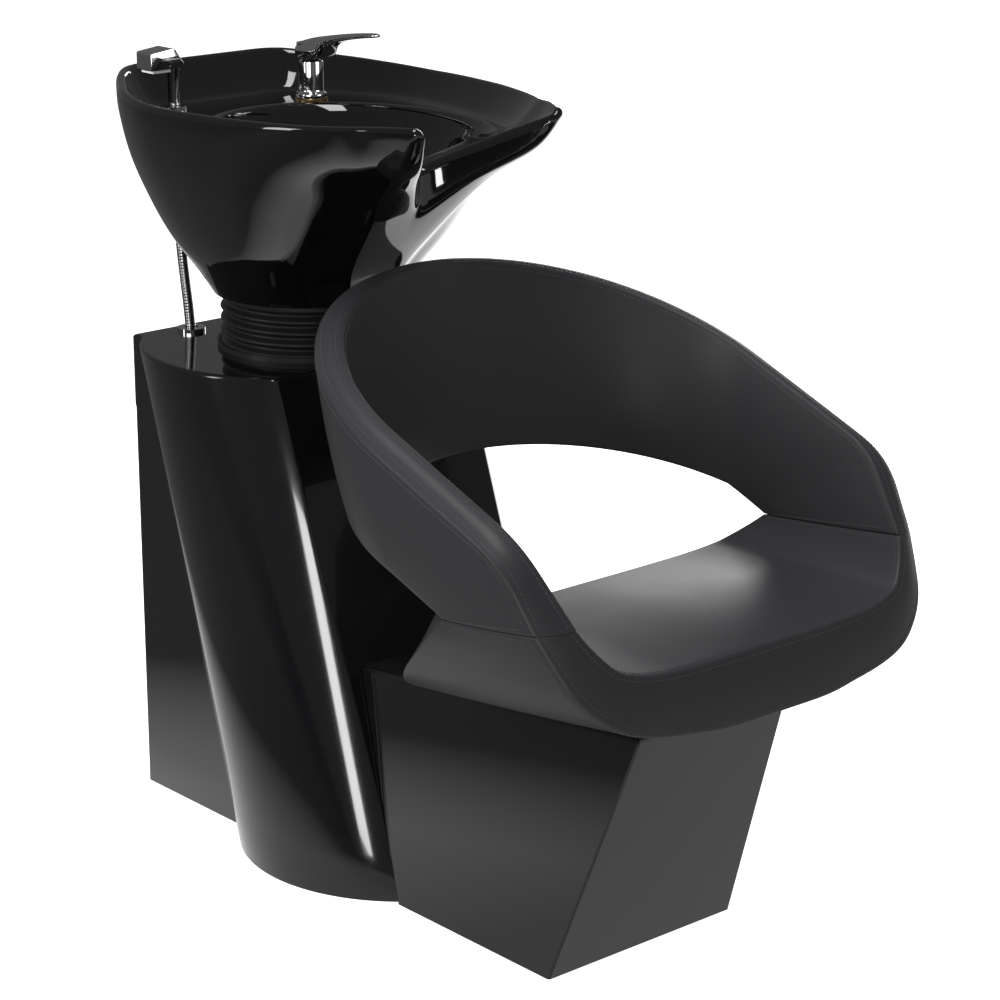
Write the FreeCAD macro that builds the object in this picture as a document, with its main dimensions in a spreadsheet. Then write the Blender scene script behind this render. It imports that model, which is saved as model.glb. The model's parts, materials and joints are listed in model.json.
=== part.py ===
import FreeCAD, Part
import math
import os
from FreeCAD import Placement, Rotation, Vector

# Hairdressing sink: a tilting ceramic basin on a leaning column, with a tub chair on a plinth in front of it.
# Millimetres, +Z up, the client faces -Y, the floor is Z = 0 and X = 0 is the mid plane.

doc = FreeCAD.newDocument("hairdressing_sink")
sheet = doc.addObject("Spreadsheet::Sheet", "sizes")

SIZES = {
    # clearances shared by all pieces
    "cut_overrun": 5, "soft_gap": 0.4, "running_gap": 0.05, "loose_gap": 0.5, "bolt_hole_gap": 0.3,
    # column shell: a box with a leaning drum through it and a flat leaning front wall
    "column_half_width": 153, "column_rear_y": 494, "column_height": 642, "shell_wall": 6,
    "column_top_wall": 8, "drum_floor_radius": 222, "drum_top_radius": 213.5, "drum_floor_y": 114,
    "drum_top_y": 326, "wall_floor_y": -55, "wall_top_y": 176,
    # plinth shell under the seat
    "plinth_front_y": -342, "plinth_top_half_width": 119, "plinth_front_lean_share": 0.357,
    "plinth_edge_round": 12,
    # floor frame, post and tilt joint
    "frame_half_width": 140, "frame_front_y": -40, "frame_rear_y": 476, "frame_thickness": 8,
    "floor_bolt_half_x": 110, "floor_bolt_front_y": 20, "floor_bolt_rear_y": 440, "floor_bolt_radius": 6,
    "post_width": 60, "post_wall": 4, "tilt_y": 306, "tilt_rise": 38,
    "tilt_z": "=column_height + tilt_rise", "post_cap_width": 150, "post_cap_thickness": 8,
    "yoke_width": 136, "yoke_plate": 6, "ear_thickness": 10, "ear_inner_x": 40, "ear_width": 44,
    "ear_top_margin": 14, "tilt_pin_radius": 8, "tilt_pin_overhang": 4, "yoke_bolt_offset": 54,
    "yoke_bolt_radius": 5, "bolt_head_ratio_share": 1.7, "bolt_head_height": 6,
    # gaiter between the column and the basin
    "gaiter_crest_radius": 117, "gaiter_valley_radius": 106, "gaiter_wall": 3, "gaiter_foot": 6,
    "gaiter_room": 74, "gaiter_ring_width": 4, "gaiter_ring_height": 7,
    # basin
    "basin_foot_z": "=column_height + gaiter_room", "basin_height": 262,
    "rim_z": "=basin_foot_z + basin_height", "rim_lift": 17, "rim_head": 40, "rim_half_width": 229.5,
    "rim_front_y": -73, "rim_rear_y": 541, "rim_band": 13, "deck_drop": 38,
    "deck_z": "=rim_z - deck_drop", "deck_slope_inset": 20, "collar_radius": 126, "basin_wall": 11,
    "basin_floor": 14, "bowl_half_width": 165, "bowl_front_y": 5, "bowl_rear_y": 412, "bowl_depth": 175,
    "bowl_bottom_z": "=deck_z - bowl_depth", "drain_y": 254, "drain_pan_radius": 62, "neck_y": 72,
    "neck_round": 20, "neck_slope_share": 1.5, "neck_drop": 72, "neck_sill_round": 12,
    "neck_rise_share": 0.8, "neck_reach": 58, "access_half_width": 118, "access_front_y": 436,
    "access_lift": 46, "access_height": 100, "basin_service_radius": 34,
    # upper tilt bracket under the basin
    "bracket_width": 130, "bracket_plate": 8, "lug_thickness": 9, "lug_gap": 1.5, "lug_width": 40,
    "lug_end_margin": 14, "bracket_bolt_offset": 50, "bracket_bolt_radius": 4,
    # waste fitting
    "strainer_radius": 34, "strainer_height": 3, "waste_radius": 20, "waste_bore_radius": 16,
    "waste_length": 62, "waste_nut_radius": 31, "waste_nut_height": 12, "strainer_hole_radius": 3.5,
    "strainer_hole_ring": 11,
    # mixer tap
    "mixer_x": 92, "mixer_y": 412, "mixer_gasket_radius": 22, "mixer_gasket_height": 3,
    "mixer_base_radius": 20.5, "mixer_base_height": 9, "mixer_radius": 16.5, "mixer_height": 50,
    "mixer_bore_radius": 12, "cartridge_seat": 24, "cartridge_gap": 0.2, "stem_radius": 5,
    "stem_height": 14, "shank_radius": 8, "shank_length": 60, "mixer_nut_radius": 15,
    "mixer_nut_height": 8, "turret_radius": 10.5, "turret_height": 18, "turret_gap": 0.4,
    "lever_axis_height": 14, "lever_pin_radius": 2, "dome_radius": 21.5, "dome_wall": 2.5,
    "dome_skirt": 8, "dome_crown": 16, "lever_reach": 142, "lever_root_width": 34, "lever_tip_width": 15,
    "lever_root_thickness": 16, "lever_tip_thickness": 6, "lever_rise": 30,
    # hand spray, its socket and its hose
    "spray_x": -92, "spray_y": 468, "socket_radius": 18, "socket_height": 6, "guide_radius": 10.5,
    "guide_bore": 8.5, "guide_length": 100, "handle_foot_radius": 8.2, "handle_top_radius": 9.5,
    "handle_height": 50, "head_length": 52, "head_width": 34, "head_height": 27, "head_overhang": 6,
    "face_length": 28, "face_width": 26, "face_inset": 5, "face_height": 4, "hose_radius": 7,
    "hose_bore_radius": 4.5, "hose_rib_depth": 0.8, "hose_rib_pitch": 4, "lead_length": 92,
    "hose_entry": 10, "hose_port_gap": 2, "escutcheon_radius": 19, "escutcheon_height": 5,
    "escutcheon_sleeve": 22, "escutcheon_sleeve_radius": 12,
    # rear service door
    "door_half_width": 108, "door_bottom_z": 60, "door_height": 480, "door_gap": 2, "hinge_radius": 5,
    "hinge_pin_radius": 2.5, "hinge_knuckle": 20, "hinge_leaf": 26, "hinge_leaf_thickness": 2,
    "hinge_low_z": 130, "hinge_high_z": 440, "knob_radius": 9, "knob_length": 14, "knob_inset": 18,
    # seat and back of the tub chair
    "chair_half_width": 316, "chair_wall": 35, "back_centre_y": -222, "top_rise_share": 0.371,
    "outer_top_z": 665, "inner_top_lift": 17, "outer_foot_drop_x": 10, "inner_foot_drop_x": 23,
    "back_lean": 40, "foot_outer_z": 524, "foot_inner_z": 512, "foot_rise_share": 0.19,
    "arm_front_y": -437, "front_lean_share": 0.61, "seam_z": 479, "seam_rise_share": 0.118,
    "arm_bend": 30, "edge_round": 9, "panel_crown": 4, "arm_top_lead": 10, "front_lead": 26,
    "rear_lead": 50, "seat_front_y": -568, "seat_front_z": 371, "seat_front_thickness": 79,
    "seat_rear_y": -150, "seat_rear_z": 325, "seat_rear_thickness": 115, "seat_rear_lean_share": -1.1,
    "seat_side_inset": 10, "seat_rise": 175, "seat_half_width": "=chair_half_width - seat_side_inset",
    # what carries the seat
    "board_half_width": 100, "board_front_y": -440, "board_length": 250, "board_thickness": 8,
    "rail_height": 10, "rail_width": 28, "rail_offset": 78, "seat_bolt_radius": 4,
    "seat_bolt_front_share": 0.15, "seat_bolt_rear_share": 0.85, "strap_thickness": 5, "strap_width": 60,
    "strap_front_y": -425,
}

for row, (name, value) in enumerate(SIZES.items(), start=1):
    sheet.set("A%d" % row, name)
    sheet.set("B%d" % row, str(value))
    sheet.setAlias("B%d" % row, name)
doc.recompute()


# One driving size, read from the sheet
def size(name):
    return float(sheet.get(name))


# A Part primitive whose properties and place are bound to the sheet
def primitive(kind, name, properties, at=("0", "0", "0"), turn=None):
    item = doc.addObject("Part::" + kind, name)
    if turn is not None:
        item.Placement = Placement(Vector(), turn)
    for key, formula in properties.items():
        item.setExpression(key, formula)
    for axis, formula in zip("xyz", at):
        item.setExpression("Placement.Base." + axis, formula)
    return item


def fuse(name, items):
    joined = doc.addObject("Part::MultiFuse", name)
    joined.Shapes = items
    return joined


def cut(name, base, tool):
    piece = doc.addObject("Part::Cut", name)
    piece.Base = base
    piece.Tool = tool
    return piece


# A sub-part whose shape is worked out here from the sheet's sizes
def feature(name, shape):
    piece = doc.addObject("Part::Feature", name)
    piece.Shape = shape
    return piece


along_x = Rotation(Vector(0, 1, 0), 90)


def loft(wires, ruled=False):
    return Part.makeLoft(wires, True, ruled)


def closed_curve(points):
    curve = Part.BSplineCurve()
    curve.interpolate(points, PeriodicFlag=True)
    return Part.Wire([curve.toShape()])


def open_curve(points):
    curve = Part.BSplineCurve()
    curve.interpolate(points)
    return curve.toShape()


def polygon(points):
    return Part.makePolygon(points + [points[0]])


def tube(outer, inner, low, high, x=0, y=0):
    body = Part.makeCylinder(outer, high - low, Vector(x, y, low))
    if inner == 0:
        return body
    overrun = size("cut_overrun")
    return body.cut(Part.makeCylinder(inner, high - low + 2 * overrun, Vector(x, y, low - overrun)))


def mirrored(shape):
    return shape.mirror(Vector(), Vector(1, 0, 0))


# A bolt with a round head, its shank pointing down
def bolt(radius, length, head_z, x, y):
    head_radius = radius * size("bolt_head_ratio_share")
    head = Part.makeCylinder(head_radius, size("bolt_head_height"), Vector(x, y, head_z))
    shank = Part.makeCylinder(radius, length, Vector(x, y, head_z - length))
    return head.fuse(shank).removeSplitter()


nodes = {}


# Column: box and leaning drum joined, cut flat in front and behind, then hollowed
def column_body(inset, top):
    height = size("column_height")
    half = size("column_half_width") - inset
    overrun = size("cut_overrun")
    low = -overrun if inset else 0

    def drum_ring(z):
        share = z / height
        taper = size("drum_top_radius") - size("drum_floor_radius")
        radius = size("drum_floor_radius") + taper * share - inset
        centre = size("drum_floor_y") + (size("drum_top_y") - size("drum_floor_y")) * share
        return Part.Wire([Part.makeCircle(radius, Vector(0, centre, z))])

    drum = loft([drum_ring(low), drum_ring(top)], True)
    front = size("wall_floor_y") + inset
    lean_share = (size("wall_top_y") - size("wall_floor_y")) / height
    rear = size("column_rear_y") - inset
    middle = size("drum_floor_y")
    box = Part.makeBox(2 * half, rear - middle, top - low, Vector(-half, middle, low))
    reach = size("drum_floor_radius") + half
    under, over = low - overrun, top + overrun
    outline = polygon([Vector(-reach, front + lean_share * under, under), Vector(-reach, rear, under),
                       Vector(-reach, rear, over), Vector(-reach, front + lean_share * over, over)])
    keep = Part.Face(outline).extrude(Vector(2 * reach, 0, 0))
    return drum.common(keep), box.common(keep)


def add_column():
    top = size("column_height")
    drum, box = column_body(0, top)
    inner_drum, inner_box = column_body(size("shell_wall"), top - size("column_top_wall"))
    overrun = size("cut_overrun")
    shell = drum.cut(inner_drum).cut(inner_box).fuse(box.cut(inner_box).cut(inner_drum)).removeSplitter()
    wide = 2 * size("door_half_width") + 2 * size("door_gap")
    tall = size("door_height") + 2 * size("door_gap")
    deep = size("shell_wall") + 2 * overrun
    doorway = Part.makeBox(wide, deep, tall, Vector(-wide / 2, size("column_rear_y") - deep + overrun,
                                                    size("door_bottom_z") - size("door_gap")))
    cuts = [doorway]
    hole = size("yoke_bolt_radius") + size("bolt_hole_gap")
    for x, y in yoke_bolt_places():
        cuts.append(tube(hole, 0, top - size("column_top_wall") - overrun, top + overrun, x, y))
    sleeve = size("escutcheon_sleeve_radius") + size("bolt_hole_gap")
    cuts.append(tube(sleeve, 0, top - size("column_top_wall") - overrun, top + overrun, hose_foot().x,
                     hose_foot().y))
    nodes["column_shell"] = feature("column_shell", shell.cut(cuts))


# Plinth: a tapering box whose back lies on the column's front wall
def plinth_body(inset, lid):
    lean_share = (size("wall_top_y") - size("wall_floor_y")) / size("column_height")
    front_lean_share = size("plinth_front_lean_share")
    slope_share = math.tan(math.radians(seat_tilt()))
    carrier = size("board_thickness") + size("rail_height") + lid
    level = size("seat_front_z") - carrier / math.cos(math.radians(seat_tilt()))
    front_y = size("plinth_front_y") + inset
    rear_y = size("wall_floor_y") - inset
    front_z = (level - slope_share * (front_y - size("seat_front_y"))) / (1 - slope_share * front_lean_share)
    rear_z = (level - slope_share * (rear_y - size("seat_front_y"))) / (1 + slope_share * lean_share)
    taper_share = (size("column_half_width") - size("plinth_top_half_width")) / size("seat_front_z")
    low = -size("cut_overrun") if inset else 0

    def pair(y, lean, z):
        half = size("column_half_width") - inset - taper_share * z
        return [Vector(-half, y + lean * z, z), Vector(half, y + lean * z, z)]

    def ring(near_z, far_z):
        return polygon(pair(front_y, -front_lean_share, near_z) + pair(rear_y, lean_share, far_z)[::-1])

    return loft([ring(low, low), ring(front_z, rear_z)], True)


def add_plinth():
    outer = plinth_body(0, 0)
    line = size("seat_front_z") / 2
    rim = [e for e in outer.Edges if min(v.Z for v in e.Vertexes) > line]
    outer = outer.makeFillet(size("plinth_edge_round"), rim)
    shell = outer.cut(plinth_body(size("shell_wall"), size("shell_wall")))
    hole = size("seat_bolt_radius") + size("bolt_hole_gap")
    deep = size("board_thickness") + size("rail_height") + size("shell_wall") + size("cut_overrun")
    shell = shell.cut([seat_placed(Part.makeCylinder(hole, deep, Vector(x, y, -deep))) for x,
                       y in seat_bolt_places()])
    nodes["plinth_shell"] = feature("plinth_shell", shell)


def yoke_bolt_places():
    offset = size("yoke_bolt_offset")
    return [(sx * offset, size("tilt_y") + sy * offset) for sx in (-1, 1) for sy in (-1, 1)]


# Floor frame with its four bolt holes
def add_floor_frame():
    plate = primitive("Box", "frame_plate", {
        "Length": "2 * sizes.frame_half_width", "Width": "sizes.frame_rear_y - sizes.frame_front_y",
        "Height": "sizes.frame_thickness"}, ("-sizes.frame_half_width", "sizes.frame_front_y", "0"))
    holes = []
    for index, (side, end) in enumerate([("-", "front"), ("", "front"), ("-", "rear"), ("", "rear")]):
        holes.append(primitive("Cylinder", "frame_hole_%d" % index, {
            "Radius": "sizes.floor_bolt_radius", "Height": "sizes.frame_thickness + 2 * sizes.cut_overrun"},
            (side + "sizes.floor_bolt_half_x", "sizes.floor_bolt_%s_y" % end, "-sizes.cut_overrun")))
    nodes["floor_frame"] = cut("floor_frame", plate, fuse("frame_holes", holes))


# Square post that carries the basin, with its cap plate under the column's top
def add_post():
    foot = "sizes.frame_thickness"
    cap_low = "sizes.column_height - sizes.column_top_wall - sizes.post_cap_thickness"
    height = "%s - %s" % (cap_low, foot)
    outer = primitive("Box", "post_outer", {"Length": "sizes.post_width", "Width": "sizes.post_width",
                                            "Height": height},
                      ("-sizes.post_width / 2", "sizes.tilt_y - sizes.post_width / 2", foot))
    inner = primitive("Box", "post_inner", {
        "Length": "sizes.post_width - 2 * sizes.post_wall",
        "Width": "sizes.post_width - 2 * sizes.post_wall",
        "Height": height + " + 2 * sizes.cut_overrun"},
        ("sizes.post_wall - sizes.post_width / 2", "sizes.tilt_y + sizes.post_wall - sizes.post_width / 2",
         foot + " - sizes.cut_overrun"))
    nodes["support_post"] = cut("support_post", outer, inner)
    cap = primitive("Box", "post_cap_plate", {
        "Length": "sizes.post_cap_width", "Width": "sizes.post_cap_width",
        "Height": "sizes.post_cap_thickness"},
        ("-sizes.post_cap_width / 2", "sizes.tilt_y - sizes.post_cap_width / 2", cap_low))
    holes = [primitive("Cylinder", "post_cap_hole_%d" % index, {
        "Radius": "sizes.yoke_bolt_radius + sizes.bolt_hole_gap",
        "Height": "sizes.post_cap_thickness + 2 * sizes.cut_overrun"},
        (sx + "sizes.yoke_bolt_offset", "sizes.tilt_y " + sy + " sizes.yoke_bolt_offset",
         cap_low + " - sizes.cut_overrun"))
        for index, (sx, sy) in enumerate([("-", "-"), ("-", "+"), ("", "-"), ("", "+")])]
    nodes["post_cap"] = cut("post_cap", cap, fuse("post_cap_holes", holes))


# Tilt yoke on the column's top, its cross pin and its bolts
def add_yoke():
    half = size("yoke_width") / 2
    base_z = size("column_height")
    y = size("tilt_y")
    top = size("tilt_z") + size("ear_top_margin")
    yoke = Part.makeBox(2 * half, 2 * half, size("yoke_plate"), Vector(-half, y - half, base_z))
    wide = size("ear_width")
    for x in (-size("ear_inner_x") - size("ear_thickness"), size("ear_inner_x")):
        yoke = yoke.fuse(Part.makeBox(size("ear_thickness"), wide, top - base_z, Vector(x, y - wide / 2,
                                                                                        base_z)))
    long_pin = tilt_pin_half()
    pin = Part.makeCylinder(size("tilt_pin_radius"), 2 * long_pin, Vector(-long_pin, y, size("tilt_z")),
                            Vector(1, 0, 0))
    hole = size("yoke_bolt_radius") + size("bolt_hole_gap")
    overrun = size("cut_overrun")
    holes = [tube(hole, 0, base_z - overrun, base_z + size("yoke_plate") + overrun, bx, by)
             for bx, by in yoke_bolt_places()]
    nodes["tilt_yoke"] = feature("tilt_yoke", yoke.cut([pin] + holes).removeSplitter())
    nodes["tilt_pin"] = primitive("Cylinder", "tilt_pin", {
        "Radius": "sizes.tilt_pin_radius",
        "Height": "2 * (sizes.ear_inner_x + sizes.ear_thickness + sizes.lug_gap + sizes.lug_thickness"
                  " + sizes.tilt_pin_overhang)"},
        ("-sizes.ear_inner_x - sizes.ear_thickness - sizes.lug_gap - sizes.lug_thickness"
         " - sizes.tilt_pin_overhang",
         "sizes.tilt_y", "sizes.tilt_z"), along_x)
    grip = size("yoke_plate") + size("column_top_wall") + size("post_cap_thickness")
    length = grip + size("bolt_head_height")
    bolts = [bolt(size("yoke_bolt_radius"), length, base_z + size("yoke_plate"), bx, by)
             for bx, by in yoke_bolt_places()]
    nodes["yoke_bolts"] = feature("yoke_bolts", Part.makeCompound(bolts))


def tilt_pin_half():
    ear = size("ear_inner_x") + size("ear_thickness")
    return ear + size("lug_gap") + size("lug_thickness") + size("tilt_pin_overhang")


# Rubber gaiter: a thin bellows turned about its upright axis, and the ring that holds its foot
gaiter_folds = 4


def add_gaiter():
    low = size("column_height")
    high = size("basin_foot_z") - size("soft_gap")
    foot = size("gaiter_foot")
    crest = size("gaiter_crest_radius")
    valley = size("gaiter_valley_radius")
    wall = size("gaiter_wall")
    step = (high - low - 2 * foot) / (2 * gaiter_folds)
    outer = [Vector(crest, 0, low), Vector(crest, 0, low + foot)]
    for fold in range(gaiter_folds):
        outer.append(Vector(valley, 0, low + foot + (2 * fold + 1) * step))
        outer.append(Vector(crest, 0, low + foot + (2 * fold + 2) * step))
    outer.append(Vector(crest, 0, high))
    inner = [Vector(p.x - wall, 0, p.z) for p in reversed(outer)]
    turned = Part.Face(polygon(outer + inner)).revolve(Vector(), Vector(0, 0, 1), 360)
    turned.translate(Vector(0, size("tilt_y"), 0))
    nodes["gaiter"] = feature("gaiter", turned)
    inside = crest + size("loose_gap")
    nodes["gaiter_ring"] = feature("gaiter_ring", tube(inside + size("gaiter_ring_width"), inside, low,
                                                       low + size("gaiter_ring_height"), 0, size("tilt_y")))


# Half of the rim's outline from the rear centre to the front centre: shares of half width and of length
RIM_SHARES = [(0.0, 1.0), (0.261, 1.0), (0.471, 0.9967), (0.575, 0.9821), (0.658, 0.9528), (0.728, 0.9186),
              (0.793, 0.8795), (0.889, 0.8192), (0.959, 0.7459), (0.993, 0.6808), (1.0, 0.6075),
              (0.993, 0.5391), (0.967, 0.4609), (0.932, 0.3844), (0.88, 0.3111), (0.815, 0.241),
              (0.754, 0.1906), (0.684, 0.1433), (0.623, 0.0896), (0.549, 0.0423), (0.492, 0.0114),
              (0.392, 0.0016), (0.196, 0.0), (0.0, 0.0)]
# How far the rim rises above its lowest line, by share of the basin's length
RIM_LIFT_SHARES = [(-0.08, 0.53), (0.06, 0.53), (0.163, 0.30), (0.252, 0.18), (0.388, 0.09), (0.526, 0.03),
                   (0.648, 0.0), (0.770, 0.18), (0.852, 0.41), (0.933, 0.71), (1.0, 1.0), (1.08, 1.3)]
# How far the outline has turned into the collar's circle, by share of the height from rim to foot
SIDE_SHARES = [(0.0, 0.0), (0.10, 0.01), (0.30, 0.11), (0.52, 0.31), (0.72, 0.55), (0.88, 0.82), (1.0, 1.0)]
FRONT_SHARES = [(0.0, 0.0), (0.15, 0.12), (0.35, 0.42), (0.65, 0.74), (0.85, 0.92), (1.0, 1.0)]
# The front of the hull fades into its sides between these shares of the length
front_fade_shares = (0.445, 0.054)
HULL_LEVEL_SHARES = (0.0, 0.10, 0.22, 0.36, 0.52, 0.68, 0.82, 0.92, 1.0)


def between(table, place):
    for (a, low), (b, high) in zip(table, table[1:]):
        if place <= b:
            return low + (high - low) * max(place - a, 0) / (b - a)
    return table[-1][1]


def rim_outline(inset, z):
    half = size("rim_half_width") - inset
    front = size("rim_front_y") + inset
    length = size("rim_rear_y") - inset - front
    radius = size("collar_radius") - inset
    centre_y = size("tilt_y")
    down = max(size("rim_z") - z, 0) / (size("rim_z") - size("basin_foot_z"))
    far, near = front_fade_shares
    right = []
    for across, along in RIM_SHARES:
        x = half * across
        y = front + length * along
        fade = min(max((far - along) / (far - near), 0), 1)
        fade = fade * fade * (3 - 2 * fade)
        turned = between(SIDE_SHARES, down) * (1 - fade) + between(FRONT_SHARES, down) * fade
        bearing = math.atan2(x, y - centre_y)
        right.append(Vector(x + (radius * math.sin(bearing) - x) * turned,
                            y + (centre_y + radius * math.cos(bearing) - y) * turned, z))
    left = [Vector(-p.x, p.y, p.z) for p in reversed(right[1:-1])]
    return closed_curve(right + left)


def hull(inset):
    rim, foot = size("rim_z"), size("basin_foot_z")
    wires = [rim_outline(inset, rim + size("rim_head"))]
    wires += [rim_outline(inset, rim - (rim - foot) * share) for share in HULL_LEVEL_SHARES]
    return loft(wires)


# Everything above the rim's rising and falling line
def above_rim():
    rim, front = size("rim_z"), size("rim_front_y")
    length = size("rim_rear_y") - front
    reach = size("rim_half_width") + 2 * size("cut_overrun")
    line = [Vector(-reach, front + length * along, rim + size("rim_lift") * rise) for along,
            rise in RIM_LIFT_SHARES]
    ceiling = rim + 2 * size("rim_head")
    head = Vector(-reach, line[-1].y, ceiling)
    tail = Vector(-reach, line[0].y, ceiling)
    edges = [open_curve(line), Part.makeLine(line[-1], head), Part.makeLine(head, tail),
             Part.makeLine(tail, line[0])]
    return Part.Face(Part.Wire(edges)).extrude(Vector(2 * reach, 0, 0))


# Bowl sections from its rolled edge down to the drain pan: share of depth, share towards the pan
BOWL_SHARES = [(0.0, 0.0), (0.12, 0.06), (0.286, 0.22), (0.514, 0.47), (0.80, 0.78), (1.0, 1.0)]


def bowl_ring(grow, z, turned):
    half = size("bowl_half_width") + grow
    front = size("bowl_front_y") - grow
    rear = size("bowl_rear_y") + grow
    middle = (front + rear) / 2
    pan = size("drain_pan_radius") + grow
    points = []
    steps = 24
    for index in range(steps):
        bearing = 2 * math.pi * index / steps
        x = half * math.sin(bearing)
        y = middle + (rear - middle) * math.cos(bearing)
        px = pan * math.sin(bearing)
        py = size("drain_y") + pan * math.cos(bearing)
        points.append(Vector(x + (px - x) * turned, y + (py - y) * turned, z))
    return closed_curve(points)


def bowl(grow, top, bottom):
    deck = size("deck_z")
    wires = [bowl_ring(grow, deck - (deck - bottom) * down, turned) for down, turned in BOWL_SHARES]
    body = loft(wires)
    lid = bowl_ring(grow, deck, 0.0)
    cap = Part.Face(lid).extrude(Vector(0, 0, top - deck))
    return body.fuse(cap)


neck_points = 17


# The space in front of the neck: a round-nosed wedge in plan between the two horns, drawn back by a wall
def neck_recess(wall):
    slope = size("neck_slope_share")
    nose = size("neck_y") + size("neck_round") + wall * math.hypot(1, slope)
    front = size("rim_front_y") - 2 * size("cut_overrun")
    reach = (nose - front) / slope
    low, high = size("basin_foot_z") - size("cut_overrun"), size("rim_z") + 2 * size("rim_head")
    line = []
    for index in range(neck_points):
        x = reach * (2 * index / (neck_points - 1) - 1)
        line.append(Vector(x, nose - math.hypot(size("neck_round"), slope * x), low))
    outline = Part.Wire([open_curve(line), Part.makeLine(line[-1], line[0])])
    return Part.Face(outline).extrude(Vector(0, 0, high - low))


# The space over the neck's sill, which rises from the middle to the horns
def over_neck():
    rise = size("neck_rise_share")
    base = size("rim_z") - size("neck_drop") - size("neck_sill_round")
    top = size("rim_z") + size("rim_lift")
    reach = (top - base) / rise
    front = size("rim_front_y") - size("cut_overrun")
    line = []
    for index in range(neck_points):
        x = reach * (2 * index / (neck_points - 1) - 1)
        line.append(Vector(x, front, base + math.hypot(size("neck_sill_round"), rise * x)))
    outline = Part.Wire([open_curve(line), Part.makeLine(line[-1], line[0])])
    return Part.Face(outline).extrude(Vector(0, size("neck_y") + size("neck_reach") - front, 0))


# The ceramic body is cast as an upper bowl with its deck and rim, and a lower hull stuck under it
def add_basin():
    rim, deck, foot = size("rim_z"), size("deck_z"), size("basin_foot_z")
    wall, overrun = size("basin_wall"), size("cut_overrun")
    top = rim + size("rim_head") + overrun
    band = size("rim_band")
    slope = rim_outline(band + size("deck_slope_inset"), deck)
    dish = loft([rim_outline(band, top), rim_outline(band, rim), slope], True)
    pan = bowl(0, rim, size("bowl_bottom_z"))
    dish = dish.cut(neck_recess(band))
    pan = pan.cut(neck_recess(wall))
    body = hull(0).cut(above_rim()).cut(dish).cut(pan).cut(over_neck()).cut(neck_recess(0))
    thick_bowl = bowl(wall, rim, size("bowl_bottom_z") - wall)
    reach = 2 * size("rim_half_width")
    front, rear = size("rim_front_y") - overrun, size("rim_rear_y") + overrun
    over_deck = Part.makeBox(2 * reach, rear - front, top - deck + wall, Vector(-reach, front, deck - wall))
    lip_z = rim - size("neck_drop") - 2 * wall
    lip_y = size("neck_y") + size("neck_reach")
    over_lip = Part.makeBox(2 * reach, lip_y - front, top - lip_z, Vector(-reach, front, lip_z))
    upper_space = thick_bowl.fuse([over_deck, over_lip])
    loose = size("loose_gap")
    low, high = deck - 2 * wall, deck + overrun
    holes = [tube(size("waste_radius") + loose, 0, foot, deck, 0, size("drain_y")),
             tube(size("shank_radius") + loose, 0, low, high, size("mixer_x"), size("mixer_y")),
             tube(size("guide_radius") + loose, 0, low, high, size("spray_x"), size("spray_y"))]
    nodes["basin"] = feature("basin", largest_solid(body.common(upper_space).cut(holes)))
    ground = Part.makeBox(2 * reach, rear - front, size("basin_floor") + overrun,
                          Vector(-reach, front, foot - overrun))
    cavity = hull(wall).cut(ground).cut(neck_recess(wall))
    access = Part.makeBox(2 * size("access_half_width"), rim, size("access_height"),
                          Vector(-size("access_half_width"), size("access_front_y"),
                                 foot + size("access_lift")))
    holes = [access, tube(size("basin_service_radius"), 0, foot - overrun,
                          foot + size("basin_floor") + overrun,
                          0, size("drain_y"))]
    for x, y in bracket_bolt_places():
        holes.append(tube(size("bracket_bolt_radius") + size("bolt_hole_gap"), 0, foot - overrun,
                          foot + size("basin_floor") + overrun, x, y))
    nodes["basin_hull"] = feature("basin_hull", largest_solid(body.cut(cavity).cut(upper_space).cut(holes)))


def largest_solid(shape):
    return max(shape.Solids, key=lambda solid: solid.Volume)


def bracket_bolt_places():
    offset = size("bracket_bolt_offset")
    return [(sx * offset, size("tilt_y") + sy * offset) for sx in (-1, 1) for sy in (-1, 1)]


# Upper bracket: a plate under the basin with two lugs that turn on the cross pin
def add_bracket():
    half = size("bracket_width") / 2
    y = size("tilt_y")
    high = size("basin_foot_z")
    low = high - size("bracket_plate")
    plate = Part.makeBox(2 * half, 2 * half, high - low, Vector(-half, y - half, low))
    bottom = size("tilt_z") - size("lug_end_margin")
    near = size("ear_inner_x") + size("ear_thickness") + size("lug_gap")
    wide = size("lug_width")
    for x in (near, -near - size("lug_thickness")):
        plate = plate.fuse(Part.makeBox(size("lug_thickness"), wide, low - bottom, Vector(x, y - wide / 2,
                                                                                          bottom)))
    reach = tilt_pin_half()
    bore = Part.makeCylinder(size("tilt_pin_radius") + size("running_gap"), 2 * reach, Vector(-reach, y,
                                                                                              size("tilt_z")),
                             Vector(1, 0, 0))
    overrun = size("cut_overrun")
    nut_clear = size("waste_nut_radius") + size("loose_gap")
    holes = [bore, tube(nut_clear, 0, low - overrun, high + overrun, 0, size("drain_y"))]
    holes += [tube(size("bracket_bolt_radius") + size("bolt_hole_gap"), 0, low - overrun, high + overrun,
                   bx, by)
              for bx, by in bracket_bolt_places()]
    nodes["basin_bracket"] = feature("basin_bracket", plate.cut(holes).removeSplitter())
    grip = size("bracket_plate") + size("basin_floor") + size("bolt_head_height")
    head_z = high + size("basin_floor")
    bolts = [bolt(size("bracket_bolt_radius"), grip, head_z, bx, by) for bx, by in bracket_bolt_places()]
    nodes["bracket_bolts"] = feature("bracket_bolts", Part.makeCompound(bolts))


# Waste: strainer in the bowl, tail through the bowl's bottom and the nut under it
strainer_holes = 8


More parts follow.
